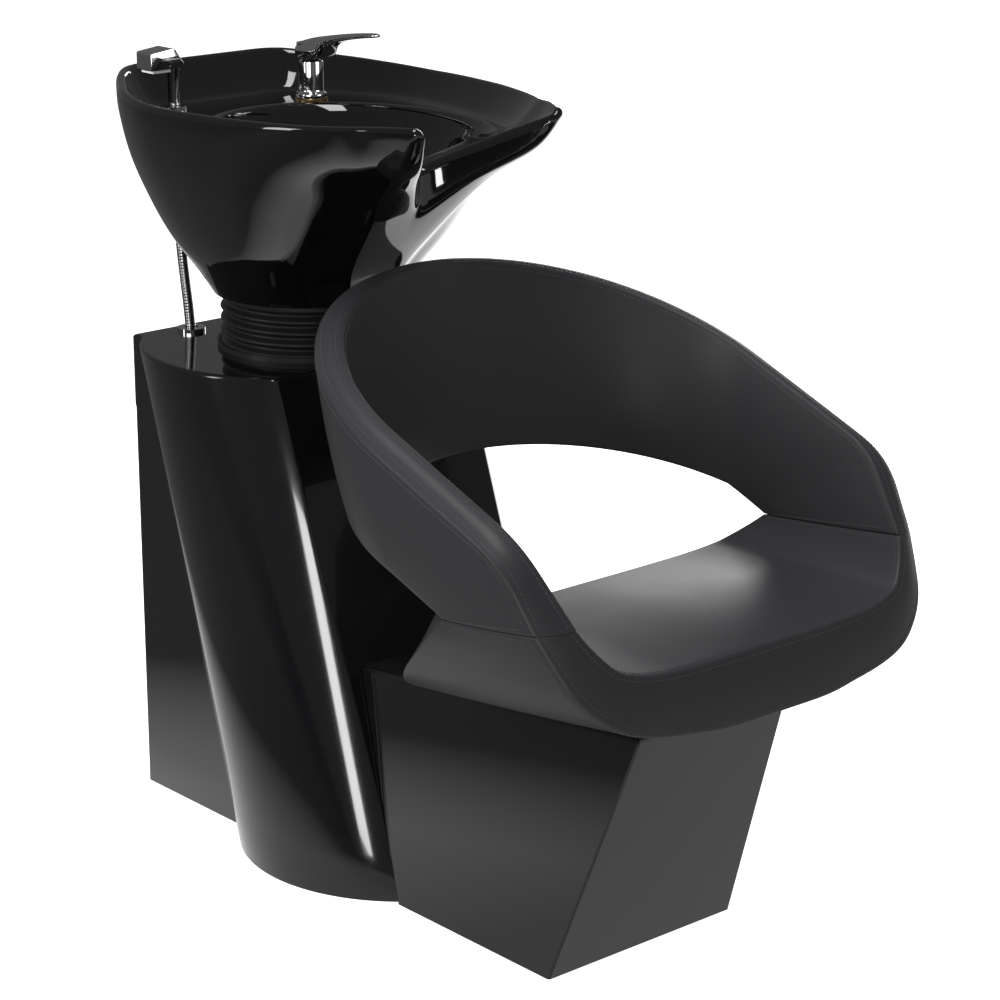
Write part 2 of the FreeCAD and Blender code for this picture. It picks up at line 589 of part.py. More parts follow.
def add_waste():
    y = size("drain_y")
    seat = size("bowl_bottom_z")
    top = seat + size("strainer_height")
    low = seat - size("waste_length")
    flange = tube(size("strainer_radius"), 0, seat, top, 0, y)
    ring = size("strainer_hole_ring")
    overrun = size("cut_overrun")
    holes = []
    for index in range(strainer_holes):
        bearing = 2 * math.pi * index / strainer_holes
        holes.append(tube(size("strainer_hole_radius"), 0, seat - overrun, top + overrun,
                          ring * math.sin(bearing), y + ring * math.cos(bearing)))
    nodes["waste_strainer"] = feature("waste_strainer", flange.cut(holes))
    nodes["waste_tail"] = primitive_tube("waste_tail", "waste_radius", "waste_bore_radius",
                                         "sizes.bowl_bottom_z - sizes.waste_length", "sizes.waste_length",
                                         ("0", "sizes.drain_y"))
    under = seat - size("basin_wall")
    nodes["waste_nut"] = feature("waste_nut", hex_nut(size("waste_nut_radius"), size("waste_radius"),
                                                      under - size("waste_nut_height"), under, 0, y))


def hex_nut(across, bore, low, high, x, y):
    turns = [math.pi * k / 3 for k in range(6)]
    corners = [Vector(x + across * math.cos(turn), y + across * math.sin(turn), low) for turn in turns]
    nut = Part.Face(polygon(corners)).extrude(Vector(0, 0, high - low))
    overrun = size("cut_overrun")
    return nut.cut(tube(bore, 0, low - overrun, high + overrun, x, y))


# A straight tube made of two cylinders bound to the sheet
def primitive_tube(name, outer, inner, low, height, place):
    body = primitive("Cylinder", name + "_outer", {"Radius": "sizes." + outer, "Height": height},
                     (place[0], place[1], low))
    bore = primitive("Cylinder", name + "_bore", {
        "Radius": "sizes." + inner, "Height": height + " + 2 * sizes.cut_overrun"},
        (place[0], place[1], low + " - sizes.cut_overrun"))
    return cut(name, body, bore)


# Mixer tap: gasket, body with its cartridge, shank and nut, turning turret and lifting lever
def add_mixer():
    x, y = size("mixer_x"), size("mixer_y")
    deck = size("deck_z")
    place = ("sizes.mixer_x", "sizes.mixer_y")
    nodes["mixer_gasket"] = primitive_tube("mixer_gasket", "mixer_gasket_radius", "shank_radius",
                                           "sizes.deck_z",
                                           "sizes.mixer_gasket_height", place)
    base = deck + size("mixer_gasket_height")
    top = base + size("mixer_height")
    overrun = size("cut_overrun")
    body = tube(size("mixer_base_radius"), 0, base, base + size("mixer_base_height"), x, y)
    body = body.fuse(tube(size("mixer_radius"), 0, base, top, x, y))
    body = body.fuse(tube(size("shank_radius"), 0, base - size("shank_length"), base, x, y))
    seat = base + size("cartridge_seat")
    body = body.cut(tube(size("mixer_bore_radius"), 0, seat, top + overrun, x, y)).removeSplitter()
    nodes["mixer_body"] = feature("mixer_body", body)
    under = deck - size("basin_wall")
    nodes["mixer_nut"] = feature("mixer_nut", hex_nut(size("mixer_nut_radius"), size("shank_radius"),
                                                      under - size("mixer_nut_height"), under, x, y))
    cartridge = tube(size("mixer_bore_radius") - size("cartridge_gap"), 0, seat, top, x, y)
    cartridge = cartridge.fuse(tube(size("stem_radius"), 0, top, top + size("stem_height"), x,
                                    y)).removeSplitter()
    nodes["mixer_cartridge"] = feature("mixer_cartridge", cartridge)
    low = top + size("turret_gap")
    axis_z = top + size("lever_axis_height")
    turret = tube(size("turret_radius"), 0, low, low + size("turret_height"), x, y)
    stem_top = top + size("stem_height") + size("loose_gap")
    turret = turret.cut(tube(size("stem_radius") + size("running_gap"), 0, low - overrun, stem_top, x, y))
    reach = size("dome_radius")
    inside = reach - size("dome_wall") / 2
    pin = Part.makeCylinder(size("lever_pin_radius"), 2 * inside, Vector(x - inside, y, axis_z), Vector(1,
                                                                                                        0, 0))
    pin = pin.cut(tube(size("stem_radius") + size("loose_gap"), 0, low - overrun, stem_top, x, y))
    nodes["mixer_turret"] = feature("mixer_turret", turret.fuse(pin).removeSplitter())
    dome_low = axis_z - size("dome_skirt")
    dome = tube(reach, 0, dome_low, axis_z, x, y)
    crown = Part.makeSphere(reach, Vector(x, y, axis_z)).common(
        Part.makeBox(2 * reach, 2 * reach, size("dome_crown"), Vector(x - reach, y - reach, axis_z)))
    dome = dome.fuse(crown).removeSplitter()
    arm_low = axis_z + size("dome_crown") - size("lever_root_thickness")
    root = lever_section(y - size("mixer_radius") / 2, arm_low, size("lever_root_width"),
                         size("lever_root_thickness"))
    tip = lever_section(y - size("lever_reach"), arm_low + size("lever_rise"), size("lever_tip_width"),
                        size("lever_tip_thickness"))
    dome = dome.fuse(loft([root, tip], True))
    ceiling = axis_z + size("dome_crown") - 2 * size("dome_wall")
    cavity = tube(reach - size("dome_wall"), 0, dome_low - overrun, ceiling, x, y)
    bore = Part.makeCylinder(size("lever_pin_radius") + size("running_gap"), 4 * reach,
                             Vector(x - 2 * reach, y, axis_z),
                             Vector(1, 0, 0))
    nodes["mixer_lever"] = feature("mixer_lever",
                                   largest_solid(dome.cut(cavity).cut(bore).removeSplitter()))


def lever_section(y, low, wide, thick):
    x = size("mixer_x")
    return polygon([Vector(x - wide / 2, y, low), Vector(x + wide / 2, y, low),
                    Vector(x + wide / 2, y, low + thick), Vector(x - wide / 2, y, low + thick)])


# The spray head from the side: shares of its length from the free end and of its height
HEAD_SHARES = [(0.0, 0.0), (0.0, 0.80), (0.03, 0.86), (0.66, 1.0), (0.74, 0.96), (1.0, 0.24), (1.0, 0.0)]


# Hand spray: socket and guide tube in the deck, handle, head, spray face and the hose lead in the guide
def add_spray():
    x, y = size("spray_x"), size("spray_y")
    deck = size("deck_z")
    place = ("sizes.spray_x", "sizes.spray_y")
    nodes["spray_socket"] = primitive_tube("spray_socket", "socket_radius", "guide_bore", "sizes.deck_z",
                                           "sizes.socket_height", place)
    nodes["hose_guide"] = primitive_tube("hose_guide", "guide_radius", "guide_bore",
                                         "sizes.deck_z - sizes.guide_length",
                                         "sizes.guide_length", place)
    foot = deck + size("socket_height") + size("soft_gap")
    handle = Part.makeCone(size("handle_foot_radius"), size("handle_top_radius"), size("handle_height"),
                           Vector(x, y, foot))
    nodes["spray_handle"] = feature("spray_handle", handle)
    low = foot + size("handle_height")
    left = x + size("head_overhang") - size("head_length")
    front = y - size("head_width") / 2
    outline = [Vector(left + size("head_length") * a, front, low + size("head_height") * b)
               for a, b in HEAD_SHARES]
    head = Part.Face(polygon(outline)).extrude(Vector(0, size("head_width"), 0))
    nodes["spray_head"] = feature("spray_head", head)
    face = Part.makeBox(size("face_length"), size("face_width"), size("face_height"),
                        Vector(left + size("face_inset"), y - size("face_width") / 2,
                               low - size("face_height")))
    nodes["spray_face"] = feature("spray_face", face)
    lead_foot = "sizes.deck_z + sizes.socket_height + sizes.soft_gap - sizes.lead_length"
    lead_sizes = {"Radius": "sizes.hose_radius", "Height": "sizes.lead_length"}
    nodes["hose_lead"] = primitive("Cylinder", "hose_lead", lead_sizes, place + (lead_foot,))


# The hose's free stretch, from inside the guide tube down into the column: places chosen by hand over its top
HOSE_ROUTE = [(-92.0, 468.0, 206.0), (-92.0, 468.0, 158.0), (-88.5, 463.5, 83.0), (-84.0, 459.0, 18.0),
              (-83.0, 458.0, -26.0)]


def hose_points():
    return [Vector(x, y, size("column_height") + z) for x, y, z in HOSE_ROUTE]


def hose_foot():
    return hose_points()[-1]


def add_hose():
    points = hose_points()
    edges = []
    start = points[0]
    for before, corner, after in zip(points, points[1:], points[2:]):
        shorter = min((corner - before).Length, (after - corner).Length)
        into = (corner - before).normalize()
        out = (after - corner).normalize()
        turn = into.getAngle(out)
        reach = shorter * hose_reach_share
        radius = reach / math.tan(turn / 2)
        print("hose bend radius", round(radius))
        a = corner - into * reach
        b = corner + out * reach
        inward = ((out - into).normalize()) * (radius / math.cos(turn / 2) - radius)
        edges.append(Part.LineSegment(start, a).toShape())
        edges.append(Part.Arc(a, corner + inward, b).toShape())
        start = b
    edges.append(Part.LineSegment(start, points[-1]).toShape())
    path = Part.Wire(edges)
    length = path.Length
    ribs = int(length / size("hose_rib_pitch"))
    stations = path.discretize(Number=4 * ribs + 1)
    crest = size("hose_radius")
    groove = crest - size("hose_rib_depth")
    rings = []
    steady = Vector(1, 0, 0)
    for index, point in enumerate(stations):
        ahead = stations[min(index + 1, len(stations) - 1)]
        behind = stations[max(index - 1, 0)]
        radius = crest if index % 4 in (1, 2) else groove
        if index < 8 or index > len(stations) - 9:
            radius = groove
        ring = Part.Circle(Vector(), Vector(0, 0, 1), radius)
        normal = (ahead - behind).normalize()
        turn = Rotation(steady, Vector(), normal, "ZXY")
        wire = Part.Wire([ring.toShape()])
        wire.Placement = Placement(point, turn)
        rings.append(wire)
    outer = loft(rings, True)
    bore = Part.Wire([Part.makeCircle(size("hose_bore_radius"), points[0], (points[1] - points[0]))])
    hollow = path.makePipeShell([bore], True, False)
    nodes["spray_hose"] = feature("spray_hose", outer.cut(hollow))
    print("hose length", round(length), "ribs", ribs)


hose_reach_share = 0.45


# Escutcheon on the column's top where the hose goes in
def add_escutcheon():
    top = size("column_height")
    place = hose_foot()
    bore = size("hose_radius") + size("hose_port_gap")
    shape = tube(size("escutcheon_radius"), bore, top, top + size("escutcheon_height"), place.x, place.y)
    sleeve = tube(size("escutcheon_sleeve_radius"), bore, top - size("escutcheon_sleeve"), top, place.x,
                  place.y)
    nodes["hose_escutcheon"] = feature("hose_escutcheon", shape.fuse(sleeve).removeSplitter())


# Rear door on two barrel hinges
def add_door():
    rear = size("column_rear_y")
    nodes["rear_door"] = primitive("Box", "rear_door", {
        "Length": "2 * sizes.door_half_width", "Width": "sizes.shell_wall", "Height": "sizes.door_height"},
        ("-sizes.door_half_width", "sizes.column_rear_y - sizes.shell_wall", "sizes.door_bottom_z"))
    knob_x = size("door_half_width") - size("knob_inset")
    knob_z = size("door_bottom_z") + size("door_height") / 2
    neck = Part.makeCylinder(size("knob_radius") / 2, size("knob_length"), Vector(knob_x, rear, knob_z),
                             Vector(0, 1, 0))
    grip = Part.makeCylinder(size("knob_radius"), size("knob_length") / 2,
                             Vector(knob_x, rear + size("knob_length") / 2, knob_z), Vector(0, 1, 0))
    nodes["door_knob"] = feature("door_knob", neck.fuse(grip).removeSplitter())
    axis_x = -size("door_half_width") - size("door_gap") / 2
    axis_y = rear + size("hinge_radius") + size("loose_gap")
    fixed, swung, pins = [], [], []
    tall = size("hinge_knuckle")
    thick = size("hinge_leaf_thickness")
    for z in (size("hinge_low_z"), size("hinge_high_z")):
        low_leaf = Part.makeBox(size("hinge_leaf"), thick, tall, Vector(axis_x - size("hinge_leaf"), rear,
                                                                        z))
        fixed.append(hinge_half(low_leaf, axis_x, axis_y, z, size("hinge_pin_radius")))
        high = z + tall + size("loose_gap")
        high_leaf = Part.makeBox(size("hinge_leaf"), thick, tall, Vector(axis_x, rear, high))
        swung.append(hinge_half(high_leaf, axis_x, axis_y, high,
                                size("hinge_pin_radius") + size("running_gap")))
        pins.append(tube(size("hinge_pin_radius"), 0, z, high + tall, axis_x, axis_y))
    nodes["hinge_leaves_fixed"] = feature("hinge_leaves_fixed", Part.makeCompound(fixed))
    nodes["hinge_leaves_door"] = feature("hinge_leaves_door", Part.makeCompound(swung))
    nodes["hinge_pins"] = feature("hinge_pins", Part.makeCompound(pins))


def hinge_half(leaf, x, y, z, bore):
    tall = size("hinge_knuckle")
    knuckle = tube(size("hinge_radius"), 0, z, z + tall, x, y)
    overrun = size("cut_overrun")
    return leaf.fuse(knuckle).cut(tube(bore, 0, z - overrun, z + tall + overrun, x, y)).removeSplitter()


# Everything under the seat is laid out level and then tilted with the seat
def seat_placed(shape):
    tilted = shape.copy()
    tilted.Placement = Placement(Vector(0, size("seat_front_y"), size("seat_front_z")),
                                 Rotation(Vector(1, 0, 0), -seat_tilt())).multiply(shape.Placement)
    return tilted


def seat_tilt():
    drop = size("seat_front_z") - size("seat_rear_z")
    return math.degrees(math.atan2(drop, size("seat_rear_y") - size("seat_front_y")))


def seat_local(y):
    return y - size("seat_front_y")


def seat_bolt_places():
    length = size("board_length")
    front = seat_local(size("board_front_y"))
    return [(side * size("rail_offset"), front + length * share) for side in (-1, 1)
            for share in (size("seat_bolt_front_share"), size("seat_bolt_rear_share"))]


def add_seat_carrier():
    front = seat_local(size("board_front_y"))
    half = size("board_half_width")
    thick = size("board_thickness")
    under = thick + size("rail_height")
    overrun = size("cut_overrun")
    length = size("board_length")
    hole = size("seat_bolt_radius") + size("bolt_hole_gap")
    holes = [Part.makeCylinder(hole, under + 2 * overrun, Vector(x, y, -under - overrun)) for x,
             y in seat_bolt_places()]
    board = Part.makeBox(2 * half, length, thick, Vector(-half, front, -thick))
    nodes["seat_board"] = feature("seat_board", seat_placed(board.cut(holes)))
    rails = []
    for side in (-1, 1):
        x = side * size("rail_offset") - size("rail_width") / 2
        rail = Part.makeBox(size("rail_width"), length, size("rail_height"), Vector(x, front, -under))
        rails.append(seat_placed(rail.cut(holes)))
    nodes["seat_rails"] = feature("seat_rails", Part.makeCompound(rails))
    lid = under + size("shell_wall")
    nut = size("bolt_head_height")
    bolts = []
    for x, y in seat_bolt_places():
        shank = Part.makeCylinder(size("seat_bolt_radius"), lid + nut, Vector(x, y, -lid - nut))
        head_radius = size("seat_bolt_radius") * size("bolt_head_ratio_share")
        head = Part.makeCylinder(head_radius, nut, Vector(x, y, -lid - nut))
        bolts.append(seat_placed(shank.fuse(head).removeSplitter()))
    nodes["seat_bolts"] = feature("seat_bolts", Part.makeCompound(bolts))


# Bent steel straps from the seat board up into the arms: half profile from the foot to the tip, as shares
STRAP_SHARES = [(0.22, 0.0), (0.34, 0.027), (0.55, 0.08), (0.74, 0.187), (0.85, 0.356), (0.91, 0.578),
                (0.945, 1.0)]


def strap_profile():
    half = size("seat_half_width")
    height = size("seat_rise") + size("board_half_width") / 2
    thick = size("strap_thickness")
    low = [Vector(half * a, 0, height * b) for a, b in STRAP_SHARES]
    high = []
    for index, point in enumerate(low):
        before = low[max(index - 1, 0)]
        after = low[min(index + 1, len(low) - 1)]
        along = (after - before).normalize()
        side = Vector(-along.z, 0, along.x)
        high.append(point + side * thick)
    return polygon(low + list(reversed(high)))


def strap_solids():
    front = seat_local(size("strap_front_y"))
    profile = Part.Face(strap_profile()).extrude(Vector(0, size("strap_width"), 0))
    profile.translate(Vector(0, front, 0))
    right = seat_placed(profile)
    return [right, mirrored(right)]


# Back and arms: sections along the tub from one arm's front to the other's
def crowned_section(corners):
    crown = size("panel_crown")
    cutback = size("edge_round")
    middle = (corners[0] + corners[1] + corners[2] + corners[3]) * (1 / len(corners))
    edges = []
    ends = []
    for here, there in zip(corners, corners[1:] + corners[:1]):
        along = (there - here).normalize()
        ends.append((here + along * cutback, there - along * cutback))
    for index, (a, b) in enumerate(ends):
        centre = (a + b) * (1 / len(ends[index]))
        along = (b - a).normalize()
        away = centre - middle
        away = (away - along * away.dot(along)).normalize()
        edges.append(Part.Arc(a, centre + away * crown, b).toShape())
        nxt = ends[(index + 1) % len(ends)][0]
        corner = corners[(index + 1) % len(corners)]
        bend = (b + nxt) * (1 / len(ends[index]))
        edges.append(Part.Arc(b, bend + (corner - bend) * corner_fill_share, nxt).toShape())
    return Part.Wire(edges)


corner_fill_share = 0.62


def foot_reach(radius, shift, angle):
    return -shift * math.sin(angle) + math.sqrt(radius ** 2 - (shift * math.cos(angle)) ** 2)


def back_corners(angle):
    outer = size("chair_half_width")
    wall = size("chair_wall")
    centre = size("back_centre_y")
    rise = size("top_rise_share")
    foot_rise = size("foot_rise_share")

    def at(reach, level, slope_share):
        y = centre + reach * math.sin(angle)
        return Vector(reach * math.cos(angle), y, level + slope_share * (y - centre))

    lean = size("back_lean")
    outer_foot = foot_reach(outer - size("outer_foot_drop_x"), lean, angle)
    inner_foot = foot_reach(outer - wall - size("inner_foot_drop_x"), lean, angle)
    return [at(outer_foot, size("foot_outer_z"), foot_rise),
            at(outer, size("outer_top_z"), rise),
            at(outer - wall, size("outer_top_z") + size("inner_top_lift"), rise),
            at(inner_foot, size("foot_inner_z"), foot_rise)]


# Seat trough: half profile from the middle to the arm, as shares of half width and of rise
SEAT_OUTER_SHARES = [(0.0, 0.0), (0.28, 0.004), (0.42, 0.03), (0.56, 0.06), (0.67, 0.10), (0.75, 0.15),
                     (0.82, 0.225), (0.882, 0.32), (0.925, 0.426), (0.954, 0.553), (0.978, 0.68),
                     (0.998, 0.806), (1.015, 1.0)]
SEAT_INNER_SHARES = [(0.0, 0.0), (0.34, 0.0), (0.54, 0.02), (0.655, 0.075), (0.732, 0.156), (0.788, 0.333),
                     (0.824, 0.49), (0.853, 0.667), (0.88, 1.0)]
seat_stations = 9
arm_stations = 7
bend_share = 0.25
middle_share = 0.5
halvings = 40


# Seat and arms are sewn together in this slanting plane
def seam_level(y):
    return size("seam_z") - size("seam_rise_share") * (y - size("back_centre_y"))


# One edge of the seat from its middle to the seam
def seat_edge(end, is_inner, lean, lead, gap):
    y, z = size("seat_%s_y" % end), size("seat_%s_z" % end)
    floor = size("seat_%s_thickness" % end) if is_inner else 0
    room = size("seat_rise") - floor
    half = size("seat_half_width")
    shares = SEAT_INNER_SHARES if is_inner else SEAT_OUTER_SHARES
    right = [Vector(half * a, y + lean * (floor + room * b) + lead, z + floor + room * b) for a, b in shares]
    left = [Vector(-p.x, p.y, p.z) for p in reversed(right[1:])]
    curve = Part.BSplineCurve()
    curve.interpolate(left + right)
    middle = curve.parameter(right[0])
    low, high = middle, curve.LastParameter
    for _ in range(halvings):
        tried = low + (high - low) * middle_share
        point = curve.value(tried)
        if point.z < seam_level(point.y) + gap:
            low = tried
        else:
            high = tried
    return curve.discretize(Number=seat_stations, First=middle, Last=low)


# The seat's four edges in the order outer rear, outer front, inner front, inner rear
def seat_edges(gap):
    front, rear = size("front_lean_share"), size("seat_rear_lean_share")
    return [seat_edge("rear", False, rear, 0, gap), seat_edge("front", False, front, 0, gap),
            seat_edge("front", True, front, -size("front_lead"), gap),
            seat_edge("rear", True, rear, size("rear_lead"), gap)]


# An arm's edge from the seam up the front, round the bend and along the top
def arm_top_edge(start, corner, end):
    a = corner + (start - corner).normalize() * size("arm_bend")
    b = corner + (end - corner).normalize() * size("arm_bend")
    bend = corner + (a - corner + b - corner) * bend_share
    points = [start, start + (a - start) * middle_share, a, bend, b, b + (end - b) * middle_share, end]
    return open_curve(points).discretize(Number=arm_stations)


def arm_foot_edge(start, end):
    return Part.makeLine(start, end).discretize(Number=arm_stations)


def arm_sections(gap):
    rear_out, front_out, front_in, rear_in = [edge[-1] for edge in seat_edges(gap)]
    foot_out, top_out, top_in, foot_in = back_corners(0)
    y = size("arm_front_y")
    z = top_out.z + size("top_rise_share") * (y - top_out.y)
    lift = size("inner_top_lift")
    outer_corner = Vector(top_out.x, y, z)
    inner_corner = Vector(top_in.x, y + size("front_lean_share") * lift - size("arm_top_lead"), z + lift)
    edges = [arm_foot_edge(rear_out, foot_out), arm_top_edge(front_out, outer_corner, top_out),
             arm_top_edge(front_in, inner_corner, top_in), arm_foot_edge(rear_in, foot_in)]
    return [crowned_section(list(corners)) for corners in zip(*edges)]


back_sections_per_side = 4


def add_back():
    right = arm_sections(size("soft_gap") / 2)
    turn = math.pi / 2 / back_sections_per_side
    right += [crowned_section(back_corners(turn * index)) for index in range(1, back_sections_per_side)]
    centre = crowned_section(back_corners(math.pi / 2))
    left = [mirrored(wire) for wire in reversed(right)]
    body = loft(right + [centre] + left)
    nodes["back_cushion"] = feature("back_cushion", largest_solid(body.cut(strap_solids())))


def add_seat():
    right = [crowned_section(list(corners)) for corners in zip(*seat_edges(-size("soft_gap") / 2))]
    left = [mirrored(wire) for wire in reversed(right[1:])]
    body = loft(left + right)
    straps = strap_solids()
    half, deep = size("chair_half_width"), size("seat_front_z")
    under = seat_placed(Part.makeBox(2 * half, 2 * deep, deep, Vector(-half, -deep / 2, -deep)))
    nodes["seat_cushion"] = feature("seat_cushion", largest_solid(body.cut(straps + [under])))
    nodes["arm_straps"] = feature("arm_straps", Part.makeCompound(straps))


add_column()
add_plinth()
add_floor_frame()
add_post()
add_yoke()
add_gaiter()
add_basin()
add_bracket()
add_waste()
add_mixer()
add_spray()
add_hose()
add_escutcheon()
add_door()
add_seat_carrier()
add_seat()
add_back()
doc.recompute()

# Nothing is written unless every object and every sub-part is sound
for item in doc.Objects:
    if "Invalid" in item.State or "Error" in item.State:
        raise RuntimeError("failed object: " + item.Name)
for label, item in nodes.items():
    item.Label = label
    if item.Shape.isNull() or not item.Shape.isValid():
        raise RuntimeError("bad shape: " + label)

os.makedirs("parts", exist_ok=True)
for label, item in nodes.items():
    item.Shape.exportStep("parts/%s.step" % label)
    print(label, len(item.Shape.Solids), round(item.Shape.Volume / 1000), "cm3")
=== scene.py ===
import json
import math

import bmesh
import bpy
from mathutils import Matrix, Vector

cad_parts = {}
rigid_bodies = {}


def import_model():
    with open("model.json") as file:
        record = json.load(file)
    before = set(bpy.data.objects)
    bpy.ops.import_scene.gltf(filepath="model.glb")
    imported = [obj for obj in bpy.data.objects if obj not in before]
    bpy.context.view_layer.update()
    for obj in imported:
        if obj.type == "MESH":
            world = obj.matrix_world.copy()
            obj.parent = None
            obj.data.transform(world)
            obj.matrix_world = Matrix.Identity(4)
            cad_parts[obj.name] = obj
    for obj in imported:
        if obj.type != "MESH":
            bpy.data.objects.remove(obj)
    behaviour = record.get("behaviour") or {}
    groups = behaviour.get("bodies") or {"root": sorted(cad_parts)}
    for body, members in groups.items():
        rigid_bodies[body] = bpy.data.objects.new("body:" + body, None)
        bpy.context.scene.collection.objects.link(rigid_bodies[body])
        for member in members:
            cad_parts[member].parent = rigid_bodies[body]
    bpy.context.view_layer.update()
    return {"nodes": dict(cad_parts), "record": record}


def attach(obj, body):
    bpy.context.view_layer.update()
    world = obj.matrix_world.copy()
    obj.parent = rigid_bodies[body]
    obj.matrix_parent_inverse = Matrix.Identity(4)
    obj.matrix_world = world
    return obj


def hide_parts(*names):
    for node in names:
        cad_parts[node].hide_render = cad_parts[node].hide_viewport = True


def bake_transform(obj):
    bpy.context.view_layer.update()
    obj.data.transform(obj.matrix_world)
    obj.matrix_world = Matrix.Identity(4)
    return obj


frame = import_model()
nodes = frame["nodes"]
mm = 0.001


# Colours are written as sRGB hex and turned linear once
def linear(hexText):
    channels = [int(hexText[i:i + 2], 16) / 255 for i in (0, 2, 4)]
    return [c / 12.92 if c <= 0.04045 else ((c + 0.055) / 1.055) ** 2.4 for c in channels] + [1.0]


def addNode(tree, kind, **inputs):
    node = tree.nodes.new(kind)
    for key, value in inputs.items():
        node.inputs[key.replace("_", " ")].default_value = value
    return node


# A principled material; grain is (size in mm, depth in mm) of a fine bump, mottle is a change in roughness
def makeMaterial(name, colour, roughness, metallic=0.0, coat=0.0, grain=None, mottle=0.0, specular=0.5):
    material = bpy.data.materials.new(name)
    material.use_nodes = True
    tree = material.node_tree
    shader = tree.nodes["Principled BSDF"]
    shader.inputs["Base Color"].default_value = linear(colour)
    shader.inputs["Roughness"].default_value = roughness
    shader.inputs["Metallic"].default_value = metallic
    shader.inputs["Coat Weight"].default_value = coat
    shader.inputs["Coat Roughness"].default_value = 0.03
    shader.inputs["Specular IOR Level"].default_value = specular
    place = tree.nodes.new("ShaderNodeTexCoord")
    if grain:
        cells = addNode(tree, "ShaderNodeTexVoronoi", Scale=1 / (grain[0] * mm))
        cells.feature = "SMOOTH_F1"
        bump = addNode(tree, "ShaderNodeBump", Distance=grain[1] * mm, Strength=0.6)
        tree.links.new(place.outputs["Object"], cells.inputs["Vector"])
        tree.links.new(cells.outputs["Distance"], bump.inputs["Height"])
        tree.links.new(bump.outputs["Normal"], shader.inputs["Normal"])
    if mottle:
        cloud = addNode(tree, "ShaderNodeTexNoise", Scale=9.0, Detail=3.0)
        spread = addNode(tree, "ShaderNodeMapRange", To_Min=roughness - mottle, To_Max=roughness + mottle)
        tree.links.new(place.outputs["Object"], cloud.inputs["Vector"])
        tree.links.new(cloud.outputs["Fac"], spread.inputs["Value"])
        tree.links.new(spread.outputs["Result"], shader.inputs["Roughness"])
    return material


# Black gelcoat of the column, plinth and door
gelcoat = makeMaterial("blackGelcoat", "0b0b0d", 0.10, coat=0.6, mottle=0.03)
# Black glaze of the basin
glaze = makeMaterial("blackGlaze", "060607", 0.05, coat=1.0)
# Fine grained black vinyl of the chair
vinyl = makeMaterial("blackVinyl", "262628", 0.42, grain=(1.1, 0.10), mottle=0.05)
# Dark grey thread of the stitching
thread = makeMaterial("greyThread", "3c3c3e", 0.5)
# Satin rubber of the gaiter
rubber = makeMaterial("blackRubber", "141415", 0.45, mottle=0.06)
# Polished chrome of the taps and hose
chrome = makeMaterial("polishedChrome", "dcdcde", 0.06, metallic=1.0)
# Yellow metal of the tap's gasket and nut
brass = makeMaterial("yellowBrass", "b59a6a", 0.28, metallic=1.0)
# Powder coated steel of the hidden frame
coatedSteel = makeMaterial("coatedSteel", "2a2a2d", 0.5)
# Zinc plated steel of bolts, pins and hinges
zinc = makeMaterial("zincSteel", "a8a8aa", 0.35, metallic=1.0)
# Matte black plastic of nuts and small fittings
blackPlastic = makeMaterial("blackPlastic", "161617", 0.5)
# Pale plastic of the spray plate
palePlastic = makeMaterial("palePlastic", "d8dadc", 0.4)
# Birch plywood of the seat board
plywood = makeMaterial("birchPlywood", "a98457", 0.6)


def clamped(value, low, high):
    return max(low, min(high, value))


def smoothStep(value):
    value = clamped(value, 0.0, 1.0)
    return value * value * (3 - 2 * value)


def lerp(a, b, share):
    return a + (b - a) * share


# Points on a smooth curve through the given points, evenly spaced along it
def throughPoints(points, count, closed=False):
    points = [Vector(p) for p in points]
    n = len(points)
    spans = n if closed else n - 1
    dense = []
    fine = 16
    for i in range(spans):
        if closed:
            p0, p1, p2, p3 = points[i - 1], points[i], points[(i + 1) % n], points[(i + 2) % n]
        else:
            p1, p2 = points[i], points[i + 1]
            p0 = points[i - 1] if i else p1 * 2 - p2
            p3 = points[i + 2] if i + 2 < n else p2 * 2 - p1
        t1 = max((p1 - p0).length, 1e-9) ** 0.5
        t2 = t1 + max((p2 - p1).length, 1e-9) ** 0.5
        t3 = t2 + max((p3 - p2).length, 1e-9) ** 0.5
        for k in range(fine):
            t = t1 + (t2 - t1) * k / fine
            a1 = p0 * ((t1 - t) / t1) + p1 * (t / t1)
            a2 = p1 * ((t2 - t) / (t2 - t1)) + p2 * ((t - t1) / (t2 - t1))
            a3 = p2 * ((t3 - t) / (t3 - t2)) + p3 * ((t - t2) / (t3 - t2))
            b1 = a1 * ((t2 - t) / t2) + a2 * (t / t2)
            b2 = a2 * ((t3 - t) / (t3 - t1)) + a3 * ((t - t1) / (t3 - t1))
            dense.append(b1 * ((t2 - t) / (t2 - t1)) + b2 * ((t - t1) / (t2 - t1)))
    dense.append(points[0] if closed else points[-1])
    return evenly(dense, count, closed)


def evenly(dense, count, closed=False):
    reach = [0.0]
    for a, b in zip(dense, dense[1:]):
        reach.append(reach[-1] + (b - a).length)
    steps = count if closed else count - 1
    out = []
    j = 0
    for i in range(count):
        want = reach[-1] * i / steps
        while j < len(dense) - 2 and reach[j + 1] < want:
            j += 1
        span = reach[j + 1] - reach[j]
        out.append(dense[j].lerp(dense[j + 1], (want - reach[j]) / span if span > 0 else 0.0))
    return out


# A skin through rings of equally many points, given in millimetres
def skin(bm, rings, closedAcross=True, capFirst=False, capLast=False):
    rows = [[bm.verts.new(p * mm) for p in ring] for ring in rings]
    count = len(rows[0])
    for a, b in zip(rows, rows[1:]):
        for i in range(count if closedAcross else count - 1):
            j = (i + 1) % count
            bm.faces.new((a[i], a[j], b[j], b[i]))
    if capFirst:
        bm.faces.new(rows[0][::-1])
    if capLast:
        bm.faces.new(rows[-1])
    return rows


